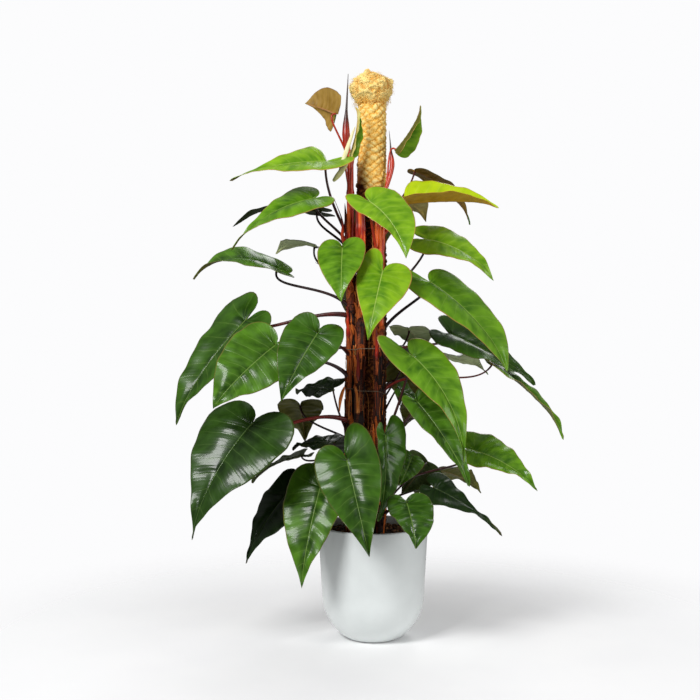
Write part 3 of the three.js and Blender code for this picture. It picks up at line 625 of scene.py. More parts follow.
addLeaf("right", 455, (106, -90, 592), (229, -165, 401), (0.35, -0.85, 0.4), 130, half=(0.6, 1.1),
        lobe=0.5, full=0.9)
addLeaf("right", 350, (246, -40, 470), (398, -100, 382), (0.3, -0.7, 0.6), 115, half=(0.85, 1.15),
        lobe=(0.5, 1.3), full=0.8, bend=0.03)
# Foot, right
addLeaf("right", 300, (150, -60, 379), (315, -90, 271), (0.3, -0.6, 0.74), 110, lobe=0.6,
        full=(-0.3, -0.9))
addLeaf("back", 300, (170, 60, 408), (287, 140, 343), (0.2, 0.5, 0.8), 110, lobe=0.5)
addLeaf("right", 300, (77, -162, 358), (96, -232, 266), (0.2, -0.9, 0.3), 112, half=(0.9, 1.1),
        full=(0.8, 1.9))
addLeaf("right", 330, (95, -40, 452), (62, -75, 385), (0.3, -0.9, 0.2), 70, lobe=0.5)
addLeaf("right", 315, (135, 15, 431), (70, -5, 355), (0.3, 0.9, 0.2), 105, lobe=0.4)
# Foot, front
addLeaf("right", 330, (28, -118, 513), (13, -158, 313), (0.5, -0.8, 0.2), 95, half=(0.5, 1.2),
        lobe=(0.6, 1))
addLeaf("front", 320, (-65, -165, 459), (-13, -245, 248), (0, -0.95, 0.3), 160, half=(1, 0.95),
        lobe=(0.8, 1.5))
addLeaf("left", 300, (-129, -105, 388), (-174, -185, 163), (-0.25, -0.9, 0.35), 145, half=(1.15, 0.9),
        lobe=(0.9, 0.6))
addLeaf("left", 330, (-212, -20, 362), (-315, -85, 202), (-0.5, -0.75, 0.45), 145, half=(0.85, 1),
        lobe=(1.2, 0.7), full=(0.2, 1))
# Middle, left
addLeaf("left", 537, (-295, -125, 540), (-433, -200, 281), (-0.35, -0.8, 0.5), 215, half=(1.08, 1.2),
        lobe=(0.6, 0.7), full=(0.5, 0.5), bend=-0.03, rise=0.35)
addLeaf("left", 800, (-316, -45, 789), (-485, -100, 541), (-0.5, -0.75, 0.45), 175, half=(1.05, 0.95),
        lobe=(0.95, 0.6), full=(1.8, 0.8), waist=(0.45, 0), rise=0.2)
addLeaf("left", 640, (-237, -140, 730), (-378, -210, 589), (-0.2, -0.9, 0.4), 155, half=(1.2, 1.1),
        lobe=0.6, full=(1.7, 1.5))
addLeaf("left", 690, (-135, -165, 759), (-218, -235, 605), (-0.1, -0.9, 0.35), 140, half=(1.1, 0.95),
        lobe=0.9, full=(1.2, 0.8))
addLeaf("left", 500, (-100, -45, 622), (-197, 50, 609), (-0.1, -0.4, 0.9), 110, lobe=0.3)
addLeaf("back", 430, (-186, 90, 571), (-177, 190, 470), (0, 0.9, 0.3), 120)
addLeaf("left", 380, (-97, -55, 491), (-205, 25, 468), (0, -0.3, 1), 105, lobe=0.15)
addLeaf("left", 430, (-180, 10, 452), (-309, 30, 385), (-0.3, 0.2, 0.9), 110, lobe=0.7)
addLeaf("left", 815, (-238, 0, 918), (-449, -20, 905), (0, -0.1, 1), 140, half=(1.25, 0.8), fold=(28, 2),
        lobe=(0.7, 0.7), full=1.2, arch=0.15, drip=0.06, wave=6)
# Behind the pole, from the top down
addLeaf("back", 640, (95, 90, 765), (140, 200, 700), (0.2, 0.5, 0.8), 115, lobe=0.7)
addLeaf("back", 560, (72, 90, 672), (120, 70, 560), (-0.4, 0.8, 0.3), 105, lobe=0.6)
addLeaf("right", 540, (60, -25, 622), (150, 5, 548), (0.3, -0.5, 0.8), 80, lobe=0.2)
addLeaf("back", 480, (130, 112, 567), (85, 182, 510), (0, 0.4, 0.9), 110, lobe=0.7)
addLeaf("back", 970, (5, 150, 1070), (20, 330, 965), (0.1, 0.5, 0.87), 140)
addLeaf("back", 780, (-8, 170, 870), (-33, 360, 740), (-0.1, 0.6, 0.8), 150)
addLeaf("back", 690, (-150, 140, 740), (-330, 260, 620), (-0.4, 0.4, 0.8), 140)
addLeaf("back", 590, (50, 180, 705), (85, 375, 555), (0.2, 0.65, 0.7), 160)
addLeaf("back", 380, (-50, 140, 465), (-85, 320, 315), (-0.1, 0.7, 0.7), 155)
addLeaf("back", 350, (85, 160, 425), (130, 330, 300), (0.3, 0.65, 0.7), 150)
addLeaf("left", 360, (-130, 120, 405), (-215, 265, 275), (-0.4, 0.6, 0.7), 140)


# Leaf tissue under a waxy cuticle: glossy with a clear coat above, and dull beneath
def leafSkin(name, look):
    material = newMaterial(name)
    veinMap = addNode(material, "UVMap", uv_map="veins")
    flatMap = addNode(material, "UVMap", uv_map="flat")
    veinSpot = addNode(material, "SeparateXYZ", [veinMap])
    flat = addNode(material, "SeparateXYZ", [flatMap])
    share = veinSpot.outputs["Y"]
    # side veins: X counts them, with each vein at a half, so they lie about 25 mm apart
    stray = addNode(material, "TexNoise", {"Vector": flatMap, "Scale": 30.0, "Detail": 1.0})
    swayed = addNode(material, "Math", [stray, 0.24, veinSpot.outputs["X"]], operation="MULTIPLY_ADD")
    shifted = addNode(material, "Math", [swayed, 0.12], operation="SUBTRACT")
    part = addNode(material, "Math", [shifted], operation="FRACT")
    off = addNode(material, "Math", [part, 0.5], operation="SUBTRACT")
    away = addNode(material, "Math", [off], operation="ABSOLUTE")
    sideVein = addNode(material, "MapRange", [away, 0.0, 0.05, 1.0, 0.0], interpolation_type="SMOOTHSTEP")
    halo = addNode(material, "MapRange", [away, 0.0, 0.3, 1.0, 0.0], interpolation_type="SMOOTHSTEP")
    fade = addNode(material, "MapRange", [share, 0.5, 1.0, 1.0, 0.2])
    sideFaded = addNode(material, "Math", [sideVein, fade], operation="MULTIPLY")
    haloFaded = addNode(material, "Math", [halo, fade], operation="MULTIPLY")
    # midrib: 4 mm wide at the joint, tapering to the tip
    across = addNode(material, "Math", [flat.outputs["Y"]], operation="ABSOLUTE")
    slimmer = addNode(material, "Math", [flat.outputs["X"], -0.006, 0.0021], operation="MULTIPLY_ADD")
    reach = addNode(material, "Math", [slimmer, 0.0007], operation="MAXIMUM")
    midrib = addNode(material, "MapRange", [across, 0.0003, reach, 1.0, 0.0], interpolation_type="SMOOTHSTEP")
    # fine wrinkles between the side veins, 6 mm apart
    ripple = addNode(material, "Math", [swayed, 4 * 2 * math.pi], operation="MULTIPLY")
    fineVein = addNode(material, "Math", [ripple], operation="SINE")
    # the green is fuller in patches that run out along the side veins, and fresher towards the margin;
    # no two leaves, nor the halves of one, have the same patches
    apart = addNode(material, "Math", [flat.outputs["Y"], 20.0], operation="MULTIPLY")
    bed = addNode(material, "CombineXYZ", [swayed, share, apart])
    own = addNode(material, "ObjectInfo").outputs["Random"]
    lot = addNode(material, "Math", [own, 40.0], operation="MULTIPLY")
    patch = addNode(material, "TexNoise", {"Vector": bed, "W": lot, "Scale": 1.2, "Detail": 2.0},
                    noise_dimensions="4D")
    # creases run along the side veins, about 6 mm apart, and break up the sheen
    drawnOut = addNode(material, "Mapping", {"Vector": bed, "Scale": (1, 0.2, 0.1)})
    creases = addNode(material, "TexNoise", {"Vector": drawnOut, "Scale": 4.5, "Detail": 2.0})
    pores = addNode(material, "TexNoise", {"Vector": flatMap, "Scale": 700.0, "Detail": 2.0})
    fresh = addNode(material, "Math", [share, 0.24, patch], operation="MULTIPLY_ADD")
    ground = addNode(material, "ValToRGB", [fresh], [(0.4, look["deep"]), (0.82, look["green"])])
    glow = addNode(material, "Math", [haloFaded, 0.14], operation="MULTIPLY")
    tinted = addNode(material, "Mix", {0: glow, 6: ground, 7: linear(look["pale"])}, data_type="RGBA")
    veined = addNode(material, "Math", [sideFaded, look["sideVein"]], operation="MULTIPLY")
    allVeins = addNode(material, "Math", [veined, midrib], operation="MAXIMUM")
    inked = addNode(material, "Math", [allVeins, 0.6], operation="MULTIPLY")
    drawn = addNode(material, "Mix", {0: inked, 6: tinted.outputs[2], 7: linear(look["vein"])},
                    data_type="RGBA")
    # the coloured margin is a line about 2 mm wide, and ends short of the tip
    rim = addNode(material, "MapRange", [share, 0.955, 0.985, 0.0, 0.85])
    tipless = addNode(material, "MapRange", [across, 0.004, 0.016])
    edge = addNode(material, "Math", [rim, tipless], operation="MULTIPLY")
    colour = addNode(material, "Mix", {0: edge, 6: drawn.outputs[2], 7: linear(look["margin"])},
                     data_type="RGBA")
    # veins are sunk above and stand out beneath
    relief = addNode(material, "Math", [allVeins, look["relief"]], operation="MULTIPLY")
    ribbed = addNode(material, "Math", [fineVein, look["wrinkle"], relief], operation="MULTIPLY_ADD")
    creased = addNode(material, "Math", [creases, 8 * look["wrinkle"], ribbed], operation="MULTIPLY_ADD")
    height = addNode(material, "Math", [pores, 0.006, creased], operation="MULTIPLY_ADD")
    wax = addNode(material, "MapRange",
                  [patch, 0.3, 0.7, look["roughness"] - 0.05, look["roughness"] + 0.06])
    return finishMaterial(material, height, 0.0005, {
        "Base Color": colour.outputs[2], "Roughness": wax, "IOR": 1.45, "Specular IOR Level": 0.2,
        "Coat Weight": look["coat"], "Coat Roughness": 0.13})


lookKeys = ("deep", "green", "pale", "vein", "margin", "sideVein", "wrinkle", "relief", "roughness", "coat")
# the sunlit look is a young leaf's own yellow-green with painted light on top; the shaded look is painted
# shade for leaves that sit in the plant's own shade
upperLooks = {
    "sunlit": ("#94b00c", "#b4cc12", "#c2d83a", "#d8e070", "#c79a3a", 0.3, 0.03, -0.4, 0.4, 0.12),
    "bright": ("#4c7c10", "#84b01e", "#8cb434", "#b6cc68", "#c08c48", 0.28, 0.04, -0.5, 0.38, 0.26),
    "young": ("#35600c", "#6a9a1c", "#6e9a2a", "#9dba58", "#a07c40", 0.26, 0.06, -0.5, 0.36, 0.26),
    "grown": ("#203e07", "#4f7c1a", "#557d26", "#86a450", "#6d6a30", 0.36, 0.06, -0.6, 0.34, 0.2),
    "full": ("#1b3608", "#3b6214", "#47691f", "#769444", "#545a28", 0.38, 0.07, -0.6, 0.33, 0.22),
    "old": ("#142906", "#2c4b12", "#38571d", "#638040", "#3b4a20", 0.42, 0.1, -0.7, 0.31, 0.28),
    "shaded": ("#10200a", "#1c3010", "#263812", "#465a2c", "#2b3416", 0.25, 0.06, -0.7, 0.34, 0.1),
}
# the cream, golden, sage and silver undersides are drawn lighter with painted light, as light shining through
# the blade from behind; cream is also leaf 13's own pale underside, and golden leaf 8's own underside colour
lowerLooks = {
    "creamLitThrough": ("#b09a4a", "#d2c67c", "#dcd294", "#c2a060", "#b08c48", 0.3, 0.05, 0.6, 0.5, 0.0),
    "goldenLitThrough": ("#d09a2a", "#f2bc3e", "#f4c454", "#b8985a", "#8a6224", 0.4, 0.05, 0.8, 0.5, 0.0),
    "bronze": ("#80601e", "#a58440", "#b29254", "#b47e5a", "#7a4a2a", 0.35, 0.05, 0.8, 0.5, 0.0),
    "silverLitThrough": ("#a8b682", "#c4d29c", "#ccd8a8", "#a49a70", "#7a7248", 0.3, 0.06, 0.8, 0.5, 0.0),
    "sageLitThrough": ("#5c6434", "#7a824c", "#868e5c", "#8c7c54", "#5a5230", 0.35, 0.06, 0.8, 0.48, 0.0),
    "olive": ("#4c4e18", "#646426", "#727236", "#846c3e", "#4a4420", 0.35, 0.06, 0.8, 0.48, 0.0),
    "dull": ("#263210", "#3a4a1c", "#48582a", "#5c4e2c", "#332a16", 0.35, 0.06, 0.8, 0.48, 0.0),
}
# leaves of each colour, by number, above and beneath; the rest are shaded above, a painted shade, and dull
# beneath
upperNumbers = {
    "sunlit": [8],
    "bright": [1, 6, 7, 11, 13, 14],
    "young": [2, 5, 15, 17, 19, 21],
    "grown": [9, 10, 12, 20, 25, 29, 33, 39, 40, 44, 45],
    "full": [16, 18, 24, 27, 28, 32, 34, 42, 46, 47],
    "old": [31, 41],
}
lowerNumbers = {
    "creamLitThrough": [10, 13],
    "goldenLitThrough": [8],
    "bronze": [9, 12],
    "silverLitThrough": [4, 18, 40],
    "sageLitThrough": [17],
    "olive": [1, 2, 5, 6, 7, 11, 14, 15, 23, 25, 32, 33, 34, 36, 39, 41, 42, 43, 44, 45],
}
skins = {}
for prefix, looks in (("leafCuticle_", upperLooks), ("leafUnderside_", lowerLooks)):
    for lookName, row in looks.items():
        skins[lookName] = leafSkin(prefix + lookName, dict(zip(lookKeys, row)))


def unit(v):
    return v / np.linalg.norm(v)


def bladeFrame(leaf):
    base, tip = np.array(leaf["base"], float), np.array(leaf["tip"], float)
    length = float(np.linalg.norm(tip - base))
    along = (tip - base) / length
    face = np.array(leaf["faces"], float)
    face = unit(face - along * face.dot(along))
    return {"base": base, "length": length, "along": along, "face": face, "across": np.cross(face, along),
            "jointNormal": unit(face - along * (4 * leaf["arch"]))}


# Half a blade as a grid: rows run from the bay round the margin to the tip, columns from the midrib outwards
def halfBlade(leaf, seat, side):
    def ofHalf(key):
        value = leaf[key]
        return value[0 if side < 0 else 1] if isinstance(value, tuple) else value

    lobe, full, waist = ofHalf("lobe"), ofHalf("full"), ofHalf("waist")
    t = np.linspace(0, 1, blade["bayStations"] + 1)
    u = np.linspace(0, 1, blade["limbStations"] + 1)[1:]
    corner = (widest["along"], widest["out"])
    bay = bezier([(0, 0), (-0.36 * lobe, 0.01), (-0.37 * lobe, 0.34), corner], t)
    limb = bezier([corner, (0.3 + 0.12 * full, widest["out"] * (1 - waist)),
                   (0.6 + 0.1 * full, 0.02 + 0.09 * full), (1, 0)], u)
    ends = np.concatenate([bay, limb])
    starts = np.concatenate([0 * t, limb[:, 0] - (0.06 + 0.3 * u) * (1 - u)])
    count = np.concatenate([blade["bayVeins"] * t, blade["bayVeins"] + blade["limbVeins"] * u])
    r = np.array(blade["levels"])[None, :]
    a = starts[:, None] + (ends[:, 0] - starts)[:, None] * r ** blade["veinSweep"]
    b = ends[:, 1][:, None] * r
    length = seat["length"]
    fold = math.radians(ofHalf("fold"))
    curl = math.radians(ofHalf("curl")) / widest["out"] + 1e-6
    wide = ofHalf("half") * leaf["width"] / (2 * widest["out"] * length)
    bow = np.where(a > 0, 4 * a * (1 - a), 4 * a)
    nod = leaf["drip"] * np.maximum(0, (a - 0.7) / 0.3) ** 2
    raised = ofHalf("flare") * np.minimum(0, a) ** 2
    out = (np.sin(fold) - np.sin(fold - curl * b)) / curl
    lifted = (np.cos(fold - curl * b) - np.cos(fold)) / curl
    ripple = leaf["wave"] * r * r * np.sin(7 * a + 2.1 * side)
    # between the sunken side veins the tissue stands up in low ridges
    midDistance = out * wide * length
    ridge = np.cos(math.pi * count[:, None]) ** 2 * np.minimum(1, r / 0.1) * (1 - r) ** 0.4
    start = 1.7 * leaf["number"] + 2 * side
    ridge = ridge * (ends[:, 1] / widest["out"] * (0.6 + 0.4 * np.sin(1.9 * count + start)))[:, None]
    sag = blade["sag"] * np.sin(math.pi * r ** 0.8) ** 2 * np.sin(6.3 * a + start)
    sag = sag + blade["edgeLift"] * r * np.sin(4.1 * a + 2 * start)
    flutter = blade["flutter"] * r * r * (np.sin(17 * a + start) + 0.5 * np.sin(33 * a + 2 * start))
    rumple = blade["oldRumple"] if leaf["base"][2] < blade["oldBelow"] else blade["rumple"]
    groove = blade["groove"] * np.exp(-(midDistance / blade["grooveWidth"]) ** 2)
    height = rumple * (blade["quilt"] * ridge + flutter + sag) - groove
    lift = (leaf["arch"] * bow - nod + raised) * length + lifted * wide * length + ripple + height
    points = (seat["base"] + (a * length)[..., None] * seat["along"] + lift[..., None] * seat["face"]
              + ((leaf["bend"] * bow + side * out * wide) * length)[..., None] * seat["across"])
    ribShare = np.exp(-(midDistance / blade["ribWidth"]) ** 2) * (1 - np.maximum(0, a))
    sideRibs = blade["sideRib"] * (1 - np.cos(math.pi * count[:, None]) ** 2) ** 6
    depth = blade["thickness"] + blade["rib"] * ribShare + sideRibs
    veins = np.stack([count[:, None] + 0 * r, r + 0 * b], axis=-1)
    flat = np.stack([a * length * mm, side * midDistance * mm], axis=-1)
    return points, depth, veins, flat


# Leaves count as young, grown or old by the height of their joint
def ageOf(leaf, young, grown, old):
    height = leaf["base"][2]
    return young if height > 930 else grown if height > 620 else old


def bladePiece(leaf):
    seat = bladeFrame(leaf)
    rows, columns = blade["bayStations"] + blade["limbStations"] + 1, len(blade["levels"])
    halves = {side: halfBlade(leaf, seat, side) for side in (-1, 1)}
    indexOf, points, depths = {}, [], []

    def vertex(side, i, j):
        if i == 0 or (i <= blade["bayStations"] and j == 0):
            key = "joint"
        elif i == rows - 1:
            key = "tip"
        else:
            key = (i,) if j == 0 else (side, i, j)
        if key not in indexOf:
            indexOf[key] = len(points)
            points.append(halves[side][0][i, j])
            depths.append(halves[side][1][i, j])
        return indexOf[key]

    upper, corners, margin, marginCorners = [], [], [], []
    for side in (-1, 1):
        for i in range(rows - 1):
            for j in range(columns - 1):
                cell, keys = [], []
                for step in ((i, j), (i + 1, j), (i + 1, j + 1), (i, j + 1)):
                    v = vertex(side, *step)
                    if v not in cell:
                        cell.append(v)
                        keys.append((side, *step))
                if len(cell) > 2:
                    upper.append(tuple(cell if side > 0 else reversed(cell)))
                    corners.append(keys if side > 0 else keys[::-1])
            edge = [(side, i, columns - 1), (side, i + 1, columns - 1)]
            marginCorners.append(edge[::-1] if side > 0 else edge)
            margin.append(tuple(vertex(*key) for key in marginCorners[-1]))
    points = np.array(points)
    normals = np.zeros_like(points)
    for face in upper:
        for k in range(1, len(face) - 1):
            turn = np.cross(points[face[k]] - points[face[0]], points[face[k + 1]] - points[face[0]])
            normals[[face[0], face[k], face[k + 1]]] += turn
    normals[indexOf["joint"]] = seat["jointNormal"]
    normals /= np.linalg.norm(normals, axis=1)[:, None]
    lower = points - normals * np.array(depths)[:, None]
    count = len(points)
    faces = list(upper) + [tuple(v + count for v in reversed(face)) for face in upper]
    faces += [(p, p + count, q + count, q) for p, q in margin]
    slots = [0] * len(upper) + [1] * len(upper) + [0] * len(margin)
    order = corners + [keys[::-1] for keys in corners] + [(p, p, q, q) for p, q in marginCorners]
    top = next((name for name, numbers in upperNumbers.items() if leaf["number"] in numbers), "shaded")
    under = next((name for name, numbers in lowerNumbers.items() if leaf["number"] in numbers), "dull")
    piece = meshObject(leaf["name"] + "_blade", np.concatenate([points, lower]), faces,
                       [skins[top], skins[under]], slots)
    for mapName, layer in (("veins", 2), ("flat", 3)):
        uvMap = piece.data.uv_layers.new(name=mapName)
        uvMap.data.foreach_set("uv", [float(c) for keys in order for side, i, j in keys
                                      for c in halves[side][layer][i, j]])
    place(piece, leaf["name"])


for leaf in leafTable:
    bladePiece(leaf)
print("leaves grown")


# Stems: four climbing stems with knots, papery sheaths, air roots, and a stalk to each blade

stems = {
    "left": {"angle": 203, "foot": 150, "top": 1185},
    "front": {"angle": 240, "foot": 150, "top": 1015},
    "right": {"angle": 288, "foot": 150, "top": 1100},
    "back": {"angle": 75, "foot": 150, "top": 1150},
}
stemBuild = {"radius": 12, "knot": 1.8, "internode": 80, "reach": 53.9, "sides": 22, "step": 5,
             "barkTop": 900, "sheaths": 4.5, "sheathTop": 960, "shingledAbove": 690, "roots": 9, "fibres": 46}
# of a sheath: its height, how far it wraps, its tone and how far its point stands off, each as two limits
shingles = ((30, 62), (0.5, 0.9), (-0.2, 0.45), (2, 8))
tornStrips = ((50, 130), (0.18, 0.42), (-0.35, 0.4), (2, 4))
stalkBuild = {"foot": 4.2, "tip": 2.9, "sheath": 2.2, "sides": 14, "steps": 44}
# how red each stalk is, from 0, maroon-black, to 1, bright red; the stalks of leaves 1 to 4 are darker also
# as painted shade, where they stand in the plant's shade; the rest go by their height
stalkRedsAndShade = {1: 0.3, 2: 0.1, 3: 0.05, 4: 0.05, 5: 0.8, 7: 0.75, 8: 0.7, 11: 0.76, 12: 0.72, 13: 0.7, 14: 0.05,
             15: 0.05, 16: 0.4, 17: 0.4, 31: 0.42, 32: 0.3, 33: 0.15, 39: 0.05}
# unopened leaves: where one leaves its stem, points along it, radius, where it is fattest, and redness
spears = {
    "left": [(1150, [(-66, -24, 1230), (-67, -22, 1290), (-62, -20, 1401)], 10, 0.45, 0.66),
             (960, [(-75, -60, 990), (-76, -84, 1030), (-95, -98, 1082)], 5, 0.3, 0.8),
             (860, [(-85, -70, 890), (-110, -85, 912), (-142, -95, 930)], 4, 0.3, 0.8)],
    "right": [(1060, [(45, -30, 1160), (44, -20, 1210), (40, -10, 1262)], 6, 0.4, 0.74)],
}
# fleshy stalk bases that clasp a stem: how high they start, the way they face, length, radius and redness
collars = {
    "right": [(852, 262, 118, 6.2, 1.0), (884, 285, 150, 6.6, 1.1), (900, 312, 140, 6.0, 0.85),
              (935, 245, 120, 5.6, 1.05), (948, 338, 120, 5.4, 0.75), (975, 268, 110, 5.2, 0.95),
              (760, 300, 90, 5.2, 0.7), (690, 255, 80, 5.0, 0.55)],
    "left": [(880, 262, 130, 6.2, 0.8), (930, 292, 140, 6.6, 0.6), (985, 250, 130, 6.0, 0.85),
             (1040, 280, 130, 6.0, 0.7), (1095, 255, 110, 5.4, 0.8), (960, 215, 120, 5.4, 0.35),
             (740, 235, 90, 5.2, 0.6)],
    "front": [(800, 285, 120, 6.0, 0.95), (842, 255, 130, 6.2, 0.75), (880, 300, 130, 6.2, 1.05),
              (905, 270, 100, 5.6, 0.9), (640, 250, 80, 5.0, 0.5), (968, 222, 120, 6.4, 0.5),
              (978, 262, 112, 6.2, 0.78), (962, 300, 130, 6.2, 0.66), (990, 242, 104, 5.2, 0.6)],
    "back": [(840, 90, 120, 5.6, 0.7), (900, 60, 130, 5.8, 0.8), (960, 105, 120, 5.6, 0.6),
             (1020, 75, 100, 5.2, 0.8)],
}
# sheaths that a new leaf has slipped out of: points along each, half width, material slot and dryness
bracts = {
    "left": [([(-84, -78, 1148), (-74, -82, 1180), (-60, -80, 1222), (-45, -74, 1262)], 5.5, 3, 0.62),
             ([(-99, -84, 1128), (-88, -92, 1138), (-74, -92, 1158), (-60, -84, 1176)], 7, 3, 0.5),
             ([(-70, -46, 626), (-78, -58, 612), (-84, -62, 590), (-83, -60, 566)], 4.5, 2, 0.35)],
}
# ties: the height and slope of each
ties = {"front": (721, 5), "right": (616, -7)}


# Stem and sheath: streaks along it, or wrinkles across it where it is squashed, lighter with its tone
def streaky(name, squash, scale, detail, share, depth, roughness, stops):
    material = newMaterial(name)
    where = addNode(material, "TexCoord").outputs["Object"]
    tone = addNode(material, "Attribute", attribute_name="tone").outputs["Fac"]
    drawnOut = addNode(material, "Mapping", {"Vector": where, "Scale": (1, 1, squash)})
    streaks = addNode(material, "TexNoise", {"Vector": drawnOut, "Scale": scale, "Detail": detail})
    level = addNode(material, "Math", [streaks, share, tone], operation="MULTIPLY_ADD")
    colour = addNode(material, "ValToRGB", [level], stops)
    return finishMaterial(material, streaks, depth,
                          {"Base Color": colour, "Roughness": roughness, "IOR": 1.4})


# Papery scale that once wrapped a leaf: dull, with parallel fibres about 1.5 mm apart
def paperySheath(name, stops):
    return streaky(name, 0.08, 650.0, 3.0, 0.7, 0.0006, 0.62, stops)


# Living stalk: smooth and a little waxy, from maroon-black to bright red, with lighter streaks along it
waxyStalk = newMaterial("waxyStalkSkin")
where = addNode(waxyStalk, "TexCoord").outputs["Object"]
tone = addNode(waxyStalk, "Attribute", attribute_name="tone").outputs["Fac"]
stretched = addNode(waxyStalk, "Mapping", {"Vector": where, "Scale": (1, 1, 0.12)})
# streaks about 2 mm wide and 17 mm long
streaks = addNode(waxyStalk, "TexNoise", {"Vector": stretched, "Scale": 500.0, "Detail": 2.0})
cloud = addNode(waxyStalk, "TexNoise", {"Vector": where, "Scale": 25.0, "Detail": 2.0})
shift = addNode(waxyStalk, "Math", [cloud, 0.3, -0.15], operation="MULTIPLY_ADD")
small = addNode(waxyStalk, "Math", [streaks, 0.16, shift], operation="MULTIPLY_ADD")
level = addNode(waxyStalk, "Math", [tone, small], operation="ADD")
colour = addNode(waxyStalk, "ValToRGB", [level], [
    (0.05, "#140706"), (0.35, "#3f100c"), (0.7, "#96200f"), (0.88, "#c23412"), (1.0, "#e8661e")])
finishMaterial(waxyStalk, streaks, 0.0003, {
    "Base Color": colour, "Roughness": 0.36, "IOR": 1.45, "Coat Weight": 0.15, "Coat Roughness": 0.25})

stemSkins = [
    # corky, dull red-brown, with wrinkles across the stem about 3 mm apart
    streaky("corkyStemBark", 2.5, 150.0, 5.0, 0.9, 0.0012, 0.7,
            [(0.3, "#0e0603"), (0.55, "#3c1709"), (0.8, "#8e431a"), (1.0, "#c98444")]),
    waxyStalk,
    # orange-brown when it is dry, pale when it is new, and grey-brown twine
    paperySheath("paperySheath", [(0.2, "#180804"), (0.42, "#84340e"), (0.7, "#dc7426"), (1.0, "#f6b870")]),
    paperySheath("paleLeafSheath", [(0.5, "#8e9a2e"), (0.8, "#d2ce7c"), (1.0, "#efe6bc")]),
    paperySheath("juteTwine", [(0.4, "#4a3a28"), (0.9, "#94806a")]),
]


def stemCentre(name, z):
    angle = stems[name]["angle"]
    reach = stemBuild["reach"] + 1.5 * (1 + math.sin(z / 90 + angle))
    turn = math.radians(angle + 2 * math.sin(z / 140 + angle))
    return Vector((pole["x"] + reach * math.cos(turn), reach * math.sin(turn), z))


def stemRadius(name, z):
    stem = stems[name]
    t = (z - stem["foot"]) / (stem["top"] - stem["foot"])
    joints = round((stem["top"] - stem["foot"]) / stemBuild["internode"])
    off = abs((t * joints + 0.5) % 1 - 0.5) * stemBuild["internode"]
    return stemBuild["radius"] + stemBuild["knot"] * math.exp(-(off / 6) ** 2) - 4 * max(0, t - 0.7) / 0.3


def addStalk(pile, leaf):
    normal = Vector(bladeFrame(leaf)["jointNormal"])
    start = stemCentre(leaf["stem"], leaf["leaves"])
    end = Vector(np.array(leaf["base"], float)) - normal * 1.4
    span = (end - start).length
    outward = Vector((end.x - start.x, end.y - start.y, 0)).normalized()
    leave = (outward * (1 - leaf["rise"]) + Vector((0, 0, leaf["rise"]))).normalized()
    line = bezier([start, start + leave * 0.4 * span, end - normal * 0.3 * span, end],
                  np.linspace(0, 1, stalkBuild["steps"] + 1))
    full = min(1.15, max(0.7, leaf["width"] / 150))
    radii = []
    for k in range(stalkBuild["steps"] + 1):
        t = k / stalkBuild["steps"]
        plain = stalkBuild["foot"] + (stalkBuild["tip"] - stalkBuild["foot"]) * t
        swell = 0.7 * math.exp(-((t - 0.97) / 0.03) ** 2)
        radii.append(full * (plain + swell + stalkBuild["sheath"] * max(0, 1 - t / 0.25)))
    red = stalkRedsAndShade.get(leaf["number"], ageOf(leaf, 0.35, 0.22, 0.12))
    pile.bar(line, radii, stalkBuild["sides"], 1, red)


# A rolled new leaf in its sheath: a slender spike
def addSpear(pile, name, leaves, way, radius, fattest, red):
    knots = [stemCentre(name, leaves)] + [Vector(p) for p in way]
    knots = [knots[0] * 2 - knots[1]] + knots + [knots[-1] * 2 - knots[-2]]
    line = []
    for k in range(1, len(knots) - 2):
        a, b, c, d = knots[k - 1:k + 3]
        for t in np.linspace(0, 1, 17)[:-1]:
            line.append(0.5 * (2 * b + (c - a) * t + (2 * a - 5 * b + 4 * c - d) * t * t
                               + (3 * b - a - 3 * c + d) * t ** 3))
    line.append(knots[-2])
    radii, tones = [], []
    for t in np.linspace(0, 1, len(line)):
        slim = np.interp(t, [0, fattest, fattest + 0.16, 0.74, 1], [0.6, 1, 0.78, 0.3, 0.07])
        radii.append(radius * float(slim))
        tones.append(red * float(np.interp(t, [0.5, 0.75], [1, 0.15])))
    pile.bar(line, radii, 16, 1, tones)


# A papery sheath hugs the stem from a knot upwards and ends in a point that stands off a little
def addSheath(pile, name, z, facing, height, wrap, stand, tone):
    def pairAt(v, h):
        half = wrap * (0.9 + 0.1 * v) * (1 - v ** 2.6) ** 0.7 + 0.05
        way = outwards(facing + h * half)
        crease = 0.6 * math.sin(5 * h + z) * v
        radius = stemRadius(name, z + v * height) + 1.1 + stand * v ** 3 + crease + 1.5 * abs(h) ** 3 * v
        centre = stemCentre(name, z + v * height)
        return centre + way * radius, centre + way * (radius - 0.6)

    pile.sheet(12, 7, pairAt, 2, tone)


# A stalk base stands against the stem, leans off it towards its torn top and tapers there
def addCollar(pile, name, z, facing, length, radius, red):
    way = outwards(math.radians(facing))
    line, radii, tones = [], [], []
    for v in np.linspace(0, 1, 21):
        out = stemRadius(name, z + v * length) - 1 + radius * 0.5 * min(1, v / 0.15) + 6 * v * v
        line.append(stemCentre(name, z + v * length) + way * out)
        radii.append(radius * (0.5 + 0.5 * min(1, v / 0.2)) * (1.01 - v ** 2) ** 0.75)
        tones.append(red + 0.15 * math.sin(7 * v + z) - 0.35 * max(0, v - 0.8))
    pile.bar(line, radii, 14, 1, tones)


